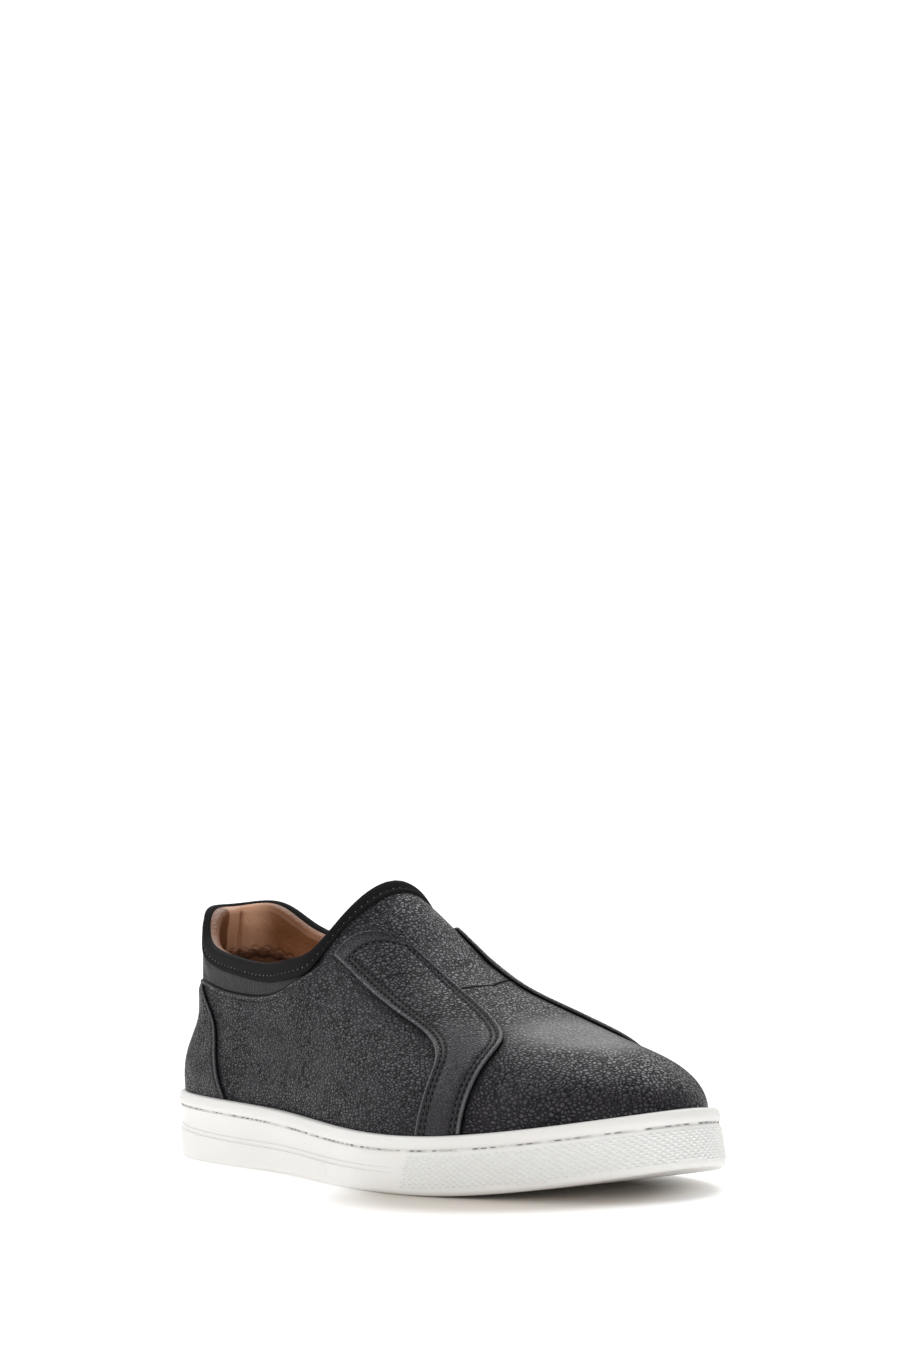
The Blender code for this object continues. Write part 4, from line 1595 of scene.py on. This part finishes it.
def make_upper():
    bent, climb, seam, station = upper_chart()
    points = level_ridge(skin(bent, climb), climb)
    out = unit(level_ridge(facing(bent, climb), climb))
    height = level_ridge(upper_relief(climb, seam, station, points), climb)
    face = np.concatenate([foot_row(station, 0.0), points + out * height[..., None]])
    back = np.concatenate([foot_row(station, LEATHER), points - out * LEATHER])
    share = share_at(station)
    above = points[..., 2] - skin(station, seam)[None, :, 2]
    behind_throat = 1 - ease(share, THROAT - THROAT_FADE, THROAT)
    smooth = ease(above, 0.0, 0.0006) * behind_throat * 0.8
    across = (share - VAMP_SEAM) * LENGTH + 0 * climb
    pinched = near_points(skin(station, climb), strap_edges())
    # Painted shade, carried by the `seam` mark: along the vamp seam, above and under the quarter's
    # fold, and beside the straps' edges. The strip above the fold is also mixed half way to matt
    # black, which darkens it.
    dark = [
        hump(across, 0.0, 0.00085) * ease(climb, VAMP_SEAM_FROM, VAMP_SEAM_FULL),
        0.9 * hump(above, 0.0005, 0.00060) * behind_throat,
        0.5 * ease(above, 0.0, 0.0006) * behind_throat,
        0.6 * hump(above, -QUARTER_SEAM_DOWN, 0.0004) * behind_throat,
        0.9 * hump(pinched, 0.0, 0.0013),
    ]
    # The `rim` mark paints a highlight along the quarter's fold.
    marks = {
        "grain": ease(share, 0.70, 0.82) + 0 * climb,
        "smooth": np.maximum(smooth, ease(share, 0.70, 0.80) * ease(climb, 0.62, 0.85) * 0.75),
        "rim": 0.45 * hump(above, -0.0006, 0.0006) * behind_throat,
        "seam": np.maximum.reduce(dark),
    }
    marks = {mark: np.concatenate([values[:1], values]) for mark, values in marks.items()}
    edge = open_columns(climb[-1])
    finish, slot = upper_leather, "upper_leather"
    piece = sheet_of("upper_shell", face, back, finish, slot, marks, closed=True, filled=edge)
    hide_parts("upper")


make_upper()

# %% [markdown]
# ## The side straps
#
# Each strap is a second layer of leather with a folded edge: it rises in a quarter round,
# swells into a small bead over the fold, and dips at its stitches: two rows inside each side
# edge and one across under the top. Inside the rows lies a panel of coarser grain, which
# fades towards the sole. All of that depends only on how far a point is from the strap's
# edges, measured along the leather.

# %% The side straps
STRAP_OFF = 0.00015
UNDERSIDE = STRAP_OFF - 0.0002
STRAP_THICK = 0.00125
EDGE_ROUND = 0.0006
BEAD = 0.00030
BEAD_IN, BEAD_WIDTH = 0.0010, 0.0006
STITCH_INSETS = (0.0024, 0.0044)
STITCH_DIP = 0.00050
STITCH_DIP_WIDTH = 0.00055
CROSS_DIP_WIDTH = 0.00075
PANEL_SWELL = 0.00030
PANEL_FULL = 0.0075
PANEL_FROM, PANEL_TO = 0.0040, 0.0052
PANEL_FADES_FROM, PANEL_FADES_TO = 0.062, 0.092
CROSS_ROW = 0.0086
THREAD_OVER = 0.00008


def edge_round(away, radius=EDGE_ROUND):
    """A quarter round that rises from 0 at the edge to 1."""
    return np.sqrt(1 - (1 - np.clip(away / radius, 0, 1)) ** 2)


def strap_distances(face):
    """How far each point is from the rear, the front and the top edge, along the leather."""
    rear = run_lengths(face, 0)
    front = rear[-1] - rear
    return rear, front, run_lengths(face, 1)


def stitch_grooves(side, top):
    """1 in the sewn grooves: two inside each side edge, and one across under the top."""
    above, outside = np.maximum(CROSS_ROW - top, 0), np.maximum(STITCH_INSETS[0] - side, 0)
    across = hump(np.hypot(outside, top - CROSS_ROW), 0.0, CROSS_DIP_WIDTH)
    rows = [hump(np.hypot(side - inset, above), 0.0, STITCH_DIP_WIDTH) for inset in STITCH_INSETS]
    return np.maximum.reduce([across, *rows])


def strap_height(rear, front, top):
    side = np.minimum(rear, front)
    away = np.minimum(side, top)
    height = STRAP_OFF + STRAP_THICK * edge_round(away)
    height += BEAD * hump(away, BEAD_IN, BEAD_WIDTH)
    height -= STITCH_DIP * stitch_grooves(side, top)
    inner = np.minimum(side, np.maximum(top - CROSS_ROW + STITCH_INSETS[1], 0))
    return height + PANEL_SWELL * ease(inner, STITCH_INSETS[1], PANEL_FULL)


def strap_shade(rear, front, top):
    """1 in the stitched grooves and under the strap's edge, where no light gets."""
    side = np.minimum(rear, front)
    dark = 1 - ease(np.minimum(side, top), 0.0, 0.0002)
    return np.maximum(dark, 0.9 * stitch_grooves(side, top))


def make_side_strap(name, outer_side, node):
    station, climb = charts[outer_side]
    flat = skin(station, climb)
    rear, front, top = strap_distances(flat)
    height = creased(flat, strap_height(rear, front, top))
    face = lifted(station, climb, height)
    back = lifted(station, climb, UNDERSIDE)
    side = np.minimum(rear, front)
    lower = ease(top, PANEL_FADES_FROM, PANEL_FADES_TO)
    panel = ease(side, PANEL_FROM, PANEL_TO) * ease(top, CROSS_ROW, CROSS_ROW + 0.001)
    # The `rim` mark paints a highlight along the edges, and the `seam` mark paints shade in the
    # stitched grooves and under the edges.
    marks = {
        "grain": panel * (1 - lower * 0.75),
        "smooth": np.clip(lower * 0.45 + (1 - panel) * 0.35, 0, 1),
        "rim": 0.8 * hump(np.minimum(side, top), 0.0006, 0.0005),
        "seam": strap_shade(rear, front, top),
    }
    piece = sheet_of(name, face, back, strap_leather, "strap_leather", marks)
    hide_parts(node)
    return station, climb, rear, front, top, height


def contour(values, level, axis_values):
    """Where each row of a rising value reaches a level, in the units of another grid."""
    return np.array([np.interp(level, v, a) for v, a in zip(values.T, axis_values.T)])


def strap_seams(layout):
    """Paths for a strap's stitches: two rows inside each side edge and one across."""
    station, _, rear, front, top, _ = layout
    paths = []
    part = np.arange(station.shape[0])[:, None] + 0 * station
    for inset in STITCH_INSETS:
        for values, order in ((rear, 1), (front[::-1], -1)):
            row = contour(values, inset, part[::order])
            start = int(np.searchsorted(top[0], CROSS_ROW - 0.0006))
            columns = np.arange(start, station.shape[1] - 2)
            paths.append(strap_path(layout, row[columns], columns))
    across = np.array([np.interp(CROSS_ROW, t, np.arange(len(t))) for t in top])
    rows = np.arange(station.shape[0])
    inside = np.minimum(rear, front)[rows, across.astype(int)] > STITCH_INSETS[0]
    paths.append(strap_path(layout, rows[inside], across[inside]))
    return paths


def strap_path(layout, rows, columns):
    station, climb, *_, height = layout
    at = sample(station, rows, columns)
    up = sample(climb, rows, columns)
    return lifted(at, up, sample(height, rows, columns) + THREAD_OVER), facing(at, up)


def sample(grid, rows, columns):
    """A grid read between its points."""
    rows = np.clip(rows, 0, grid.shape[0] - 1.001)
    columns = np.clip(columns, 0, grid.shape[1] - 1.001)
    r, c = rows.astype(int), columns.astype(int)
    a, b = rows - r, columns - c
    low = grid[r, c] * (1 - b) + grid[r, c + 1] * b
    high = grid[r + 1, c] * (1 - b) + grid[r + 1, c + 1] * b
    return low * (1 - a) + high * a


outer_strap = make_side_strap("side_strap_outer", True, "strap_outer")
inner_strap = make_side_strap("side_strap_inner", False, "strap_inner")
sew_stitches(
    "strap_stitches",
    strap_seams(outer_strap) + strap_seams(inner_strap),
    black_thread,
    "strap_leather",
    pitch=0.0025,
    length=0.0015,
    thickness=0.00044,
    Sink=-0.00004,
    Uneven=0.00016,
)

# %% [markdown]
# ## The heel counter
#
# The counter is the panel that wraps the heel. It is a separate piece of leather with its
# edge folded under, so it ends in a soft bead, with a shallow sewn line a few millimetres in.
# It is broad at the sole and narrows towards the top, where the collar's strip begins. Its
# table gives the share of the way up from the rim, then the share of the length.

# %% The heel counter
OVERLAY = 0.0011
COUNTER_TOP = 0.0685
COUNTER = [
    (0.00, 0.202),
    (0.16, 0.187),
    (0.38, 0.169),
    (0.64, 0.132),
    (0.78, 0.105),
    (1.00, 0.066),
]
COUNTER_ROWS = 70
COUNTER_COLUMNS = 130
COUNTER_CROWDING_ACROSS, COUNTER_CROWDING_UP = 1.6, 1.4
COUNTER_BEAD_WIDTH = 0.0008
COUNTER_SEAM_INSET = 0.0028
COUNTER_SEAM_DEPTH = 0.00045
COUNTER_SEAM_WIDTH = 0.0004


def make_heel_counter():
    stations, climbs = [], []
    spread = np.linspace(-1, 1, COUNTER_COLUMNS)
    spread = np.sign(spread) * (1 - (1 - np.abs(spread)) ** COUNTER_CROWDING_ACROSS)
    for part in 1 - (1 - np.linspace(0, 1, COUNTER_ROWS)) ** COUNTER_CROWDING_UP:
        station = station_at(along(COUNTER, part)) * spread
        low = rim(share_at(station)) + GAP
        stations.append(station)
        climbs.append(climb_to(station, low + (COUNTER_TOP - low) * part))
    station, climb = np.stack(stations), np.stack(climbs)
    flat = skin(station, climb)
    side = np.minimum(run_lengths(flat, 1), run_back(flat, 1))
    top = run_back(flat, 0)
    away = np.minimum(side, top)
    sewn = hump(side, COUNTER_SEAM_INSET, COUNTER_SEAM_WIDTH)
    height = STRAP_OFF + (OVERLAY - 0.0002) * edge_round(away) * ease(top, -0.0015, 0.0035)
    height += BEAD * hump(side, BEAD_IN, COUNTER_BEAD_WIDTH)
    height -= COUNTER_SEAM_DEPTH * sewn
    height = creased(flat, height)
    face = lifted(station, climb, height)
    back = lifted(station, climb, UNDERSIDE)
    # The `rim` mark paints a highlight along the bead, and the `seam` mark paints shade at the
    # edge and in the sewn line.
    marks = {
        "smooth": 0.6 * (1 - ease(away, 0.0016, 0.0028)),
        "rim": 0.45 * hump(side, 0.0007, 0.0005),
        "seam": np.maximum(1 - ease(away, 0, 0.0003), 0.7 * sewn),
    }
    piece = sheet_of("heel_counter", face, back, counter_leather, "upper_leather", marks)
    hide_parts("heel_counter")


make_heel_counter()

# %% [markdown]
# ## Stitches on the quarter
#
# One row of black stitches holds the quarter's folded top edge down on the strip behind it.
# It runs just under the fold on both sides of the shoe, from the counter to the straps.

# %% Stitches on the quarter
QUARTER_STITCH_DOWN = 0.0026
QUARTER_STITCH_FROM, QUARTER_STITCH_TO = 0.072, 0.408


def quarter_paths():
    paths = []
    for side in (1, -1):
        share = np.linspace(QUARTER_STITCH_FROM, QUARTER_STITCH_TO, 160)
        station = station_at(share) if side > 0 else TURN - station_at(share)
        seam_height = HEEL_HEIGHT * around(QUARTER_TOP, station)
        climb = climb_to(station, seam_height - QUARTER_STITCH_DOWN)
        paths.append((lifted(station, climb, -0.00002), facing(station, climb)))
    return paths


sew_stitches(
    "quarter_stitches",
    quarter_paths(),
    black_thread,
    "upper_leather",
    pitch=0.0024,
    length=0.0019,
    thickness=0.00045,
    Uneven=0.0001,
)

# %% [markdown]
# ## The lining
#
# The inside of the shoe is lined with thin tan leather, smooth near the collar and napped
# lower down. It is its own closed sheet just inside the shell and runs down beside the
# insole, so the black leather never shows in the opening.

# %% The lining
LINING_OFF = 0.00004
LINING_THICK = 0.00022
LINING_ROWS = 34
LINING_UNDER_EDGE = 0.0012
NAP_FROM, NAP_TO = 0.018, 0.024


def make_lining_sheet():
    half = np.concatenate(
        [
            np.linspace(0, station_at(THROAT - THROAT_REACH), 40),
            station_at(np.linspace(THROAT - THROAT_REACH, THROAT, 26)[1:]),
            np.linspace(station_at(THROAT), np.pi, 40)[1:],
        ]
    )
    station = loop_of(half)
    edge = collar(station)
    under = climb_to(station, skin(station, edge)[..., 2] - LINING_UNDER_EDGE)
    edge = np.where(edge < 1, under, 1.0)
    climb = edge * np.linspace(0, 1, LINING_ROWS)[:, None]
    points = level_ridge(skin(station, climb), climb)
    out = unit(level_ridge(facing(station, climb), climb))
    face, back = (
        np.concatenate([foot_row(station, inside), points - out * inside])
        for inside in (LEATHER + LINING_OFF, LEATHER + LINING_OFF + LINING_THICK)
    )
    below = skin(station, edge)[None, :, 2] - face[..., 2]
    marks = {"nap": ease(below, NAP_FROM, NAP_TO)}
    filled = open_columns(edge)
    sheet_of("lining", face, back, tan_lining, "collar_lining", marks, closed=True, filled=filled)


make_lining_sheet()

# %% [markdown]
# ## The padded collar
#
# Foam behind soft tan leather pads the heel. It is thickest in the middle, rolls over at the
# top under the band's edge, and thins out to both ends. A vertical seam pinches it at the
# back of the heel. Along its lower edge runs a flat napped facing, sewn on at a seam that
# puckers the padding between the stitches. The shape is worked out directly, as it follows
# the last, so no cloth simulation is needed.

# %% The padded collar
PAD_HEIGHT = 0.022
PAD_BELOW_EDGE = 0.0003
PADDING = 0.0042
PAD_ROWS = 46
PAD_COLUMNS = 210
PAD_TO = 0.303
PAD_SEAM = 0.0035
FACING = 0.0038
PAD_CROWN = 0.0024
PUCKER_SPACE = 0.0062
PUCKER = 0.00016
RIPPLE, LONG_RIPPLE = 0.00045, 0.0003
LONG_RIPPLE_SPACE = 0.0171
PAD_EDGE_THICK, PAD_LEAST = 0.0008, 0.0006
PAD_LOW_ROUND = 0.0090
PAD_ENDS_OVER = 0.011
PAD_SEAM_LEAN = 0.0006
# How the vertical seam pulls the padding in: depth and width
PINCHES = [
    (0.0016, 0.0008),
    (0.0008, 0.0035),
]
FACING_SEAM_DEPTH = 0.0005
FACING_STITCH_UNDER = 0.0011
SOFT_FOLD = 0.00022


def make_padded_collar():
    reach = station_at(PAD_TO)
    station = np.linspace(-reach, reach, PAD_COLUMNS)
    top = skin(station, collar(station))[..., 2] - PAD_BELOW_EDGE
    part = 0.5 - 0.5 * np.cos(np.linspace(0, np.pi, PAD_ROWS))[:, None]
    along_edge = run_lengths(skin(station, collar(station)), 0)
    ripple = RIPPLE * np.sin(TURN * along_edge / PUCKER_SPACE)
    ripple = ripple + LONG_RIPPLE * np.sin(TURN * along_edge / LONG_RIPPLE_SPACE + 1)
    drop = PAD_HEIGHT * (1 - part) * (1 + 0 * along_edge) + ripple * (1 - part) ** 3
    climb = climb_to(station, top - drop)
    flat = lifted(station, climb, -LEATHER - GAP)
    up = run_lengths(flat, 0)
    down = run_back(flat, 0)
    end = np.minimum(along_edge, along_edge[-1] - along_edge)
    swell = (PADDING - PAD_EDGE_THICK) * edge_round(down, PAD_CROWN)
    swell = swell * edge_round(up, PAD_LOW_ROUND)
    thick = PAD_EDGE_THICK + swell * ease(end, -0.001, PAD_ENDS_OVER)
    seam_at = np.interp(-station_at(PAD_SEAM), station, along_edge)
    lean = -PAD_SEAM_LEAN * (1 - part)
    from_seam = along_edge + lean - seam_at
    pinch = sum(deep * hump(from_seam, 0.0, wide) for deep, wide in PINCHES)
    thick -= pinch * ease(down, 0.0, 0.004)
    pucker = PUCKER * np.sin(TURN * along_edge / PUCKER_SPACE)
    thick += pucker * hump(up, FACING, 0.0035)
    thick -= FACING_SEAM_DEPTH * hump(up + pucker, FACING, 0.0005)
    wander = 2.2 * np.sin(along_edge * 90 + 1)
    soft_fold = SOFT_FOLD * np.sin(up * 420 + wander)
    thick += soft_fold * ease(up, 0.002, 0.008) * ease(down, 0.002, 0.008)
    thick = np.maximum(thick, PAD_LEAST)
    face = lifted(station, climb, -LEATHER - GAP - thick)
    # `lit` is a painted highlight beside the vertical seam, carried by the `rim` mark.
    lit = ease(from_seam, -0.0004, 0.0010) * (1 - ease(from_seam, 0.016, 0.034))
    marks = {"nap": 1 - ease(up + pucker, FACING - 0.0003, FACING + 0.0002), "rim": lit}
    turned = face[:, ::-1], flat[:, ::-1]
    piece = sheet_of("padded_collar", *turned, tan_lining, "collar_lining", marks)
    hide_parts("collar_padding")
    return station, climb, face, up


def facing_seam_path(layout):
    """Stitches just under the seam between the padding and its napped facing."""
    station, climb, face, up = layout
    way = -facing(station, climb)[0]
    path = [
        [np.interp(FACING - FACING_STITCH_UNDER, up[:, c], face[:, c, axis]) for axis in range(3)]
        for c in range(len(station))
    ]
    return np.array(path) + way * 0.00005, way


padding = make_padded_collar()
tan_thread = make_thread("tan_thread", (0.10, 0.045, 0.022), (0.32, 0.17, 0.10))
sew_stitches(
    "collar_lining_stitches",
    [facing_seam_path(padding)],
    tan_thread,
    "collar_lining",
    pitch=0.0033,
    length=0.0021,
    thickness=0.0006,
    Uneven=0.0002,
)

# %% [markdown]
# ## The insole
#
# The insole is a thin cushion covered in napped tan leather. It lies on the cup's floor, and
# its edge is rolled down. A faint hollow under the heel and the ball shows where a foot
# would press.

# %% The insole
INSOLE_THICK = 0.0040
INSOLE_ROUND = 0.0016
INSOLE_RINGS = 30
INSOLE_STATIONS = 160
# Where a foot presses: share of the length, place across, size and depth
HOLLOWS = [
    (0.13, 0.0, 0.024, 0.0007),
    (0.70, 0.0, 0.030, 0.0005),
]


def make_insole_cushion():
    station = loop_of(np.linspace(0, np.pi, INSOLE_STATIONS + 1))
    share = share_at(station)
    edge_x, edge_y = outline(station, foot_inset(share) + LEATHER + 2 * GAP)
    middle_x, middle_y = spine(station)
    part = (1 - (1 - np.linspace(0, 1, INSOLE_RINGS)) ** 1.8)[:, None]
    x = middle_x + (edge_x - middle_x) * part
    y = middle_y + (edge_y - middle_y) * part
    away = np.hypot(edge_x - middle_x, edge_y - middle_y) * (1 - part)
    low = cup_floor(x / LENGTH) + 2 * GAP
    top = low + INSOLE_THICK - INSOLE_ROUND * (1 - edge_round(away, INSOLE_ROUND))
    for place, side, size, depth in HOLLOWS:
        spot = np.hypot(x - LENGTH * place, y - side)
        top = top - depth * hump(spot, 0.0, size)
    face = np.stack([x, y, top], -1)[::-1]
    back = np.stack([x, y, low], -1)[::-1]
    marks = {"nap": np.ones(face.shape[:2])}
    finish, slot = tan_lining, "insole_lining"
    piece = sheet_of("insole_cushion", face, back, finish, slot, marks, True, slice(0))
    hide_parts("insole")


make_insole_cushion()

# %% [markdown]
# ## The collar band
#
# A strip of black stretch knit is folded over the collar's edge all the way round and up
# over the throat. Its section is written as distances: how far down the outside, then over
# the top, then a little way down the inside. At the throat it turns to lie along the instep
# and is a little narrower, and behind the heel it is narrowest. A seam pulls it in above its
# lower edge.

# %% The collar band
BAND_WIDTH = 0.0071
BAND_AT_THROAT = 0.0056
BAND_BEHIND = 0.0030
BAND_NARROW_TO = (0.050, 0.078)
BAND_SEAM_UP = 0.0026
BAND_PUFF = 0.0009
BAND_THIN = 0.00060
BAND_ROWS = 15
BAND_EDGE_ROUND = 0.0006
BAND_PUFF_OVER = 0.0030
BAND_SEAM_DEPTH, BAND_SEAM_WIDTH = 0.00030, 0.0005
BAND_HEM, BAND_HEM_UP, BAND_HEM_WIDTH = 0.00022, 0.0011, 0.0008
BAND_TOP_THICK, BAND_TOP_ROLL = 0.00125, 0.0009
# The fold over the collar's edge: how far up and how far out, in metres
OVER_TOP = [
    (0.00022, 0.00095),
    (0.00036, 0.00040),
    (0.00038, -0.00060),
    (0.00026, -0.00140),
    (-0.00006, -0.00195),
    (-0.00045, -0.00222),
    (-0.00060, -0.00210),
    (-0.00030, -0.00192),
    (0.00006, -0.00180),
    (0.00010, -0.00090),
    (0.00010, 0.00000),
    (0.00004, 0.00012),
]


def band_chart():
    half = np.concatenate([stations_to_throat(70, 41), [station_at(THROAT) + NUDGE]])
    station = loop_of(half)
    edge = collar(station)
    side = np.where(station <= np.pi, 1.0, -1.0)
    near = throat_share(station) ** 4
    forward = station_at(THROAT + BAND_AT_THROAT / LENGTH) - station_at(THROAT)
    height = skin(station, edge)[..., 2]
    wide = BAND_BEHIND + (BAND_WIDTH - BAND_BEHIND) * ease(share_at(station), *BAND_NARROW_TO)
    low = climb_to(station, height - wide)
    low = low + (edge - low) * near
    part = np.linspace(0, 1, BAND_ROWS)[:, None]
    ahead = station + side * forward * near * (1 - part)
    return ahead, low + (edge - low) * part, wide


def make_collar_band():
    station, climb, width = band_chart()
    flat = skin(station, climb)
    run_up = run_lengths(flat, 0)
    up = run_up / run_up[-1] * width
    out = STRAP_OFF + BAND_THIN * edge_round(up, BAND_EDGE_ROUND)
    out += BAND_PUFF * ease(up, BAND_SEAM_UP, BAND_SEAM_UP + BAND_PUFF_OVER)
    out -= BAND_SEAM_DEPTH * hump(up, BAND_SEAM_UP, BAND_SEAM_WIDTH)
    out += BAND_HEM * hump(up, BAND_HEM_UP, BAND_HEM_WIDTH)
    out -= (out - BAND_TOP_THICK) * ease(up, width - BAND_TOP_ROLL, width) * 0.5
    outside = lifted(station, climb, out)
    top_at, edge = station[-1], climb[-1]
    tip = flat[-1]
    upward = unit(tip - flat[-4])
    normal = facing(top_at, edge)
    over = [tip + upward * rise + normal * away for rise, away in OVER_TOP]
    inside_face = lifted(station[::-1], climb[::-1], UNDERSIDE)
    section = np.concatenate([outside, np.stack(over), inside_face])
    rows, columns = section.shape[:2]
    faces = grid_faces(rows, columns, True).reshape(-1, 4)
    first = np.arange(columns)
    last = first + (rows - 1) * columns
    close = np.stack([last, np.roll(last, -1), np.roll(first, -1), first], -1)
    faces = np.concatenate([faces, close])
    run = run_lengths(section, 1)
    chart = np.stack([run[BAND_ROWS - 1] + 0 * run, run_lengths(section, 0)], -1)
    piece = sew("collar_knit", section, faces, band_textile, chart=chart)
    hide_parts("collar_band")
    return station, climb, up, out


def band_seam_path(layout):
    """Stitches that slant over the band's lower edge, all the way round."""
    station, climb, up, out = layout
    steps = np.arange(len(up))
    columns = [*range(station.shape[1]), 0]
    rows = [np.interp(BAND_SEAM_UP, up[:, c], steps) for c in columns]
    at, climbs, lift = (
        np.array([np.interp(r, steps, grid[:, c]) for r, c in zip(rows, columns)])
        for grid in (station, climb, out)
    )
    return lifted(at, climbs, lift + 0.00005), facing(at, climbs)


band_layout = make_collar_band()
sew_stitches(
    "band_stitches",
    [band_seam_path(band_layout)],
    grey_thread,
    "collar_textile",
    pitch=0.0031,
    length=0.0015,
    thickness=0.00034,
    Slant=1.25,
    Uneven=0.00012,
)
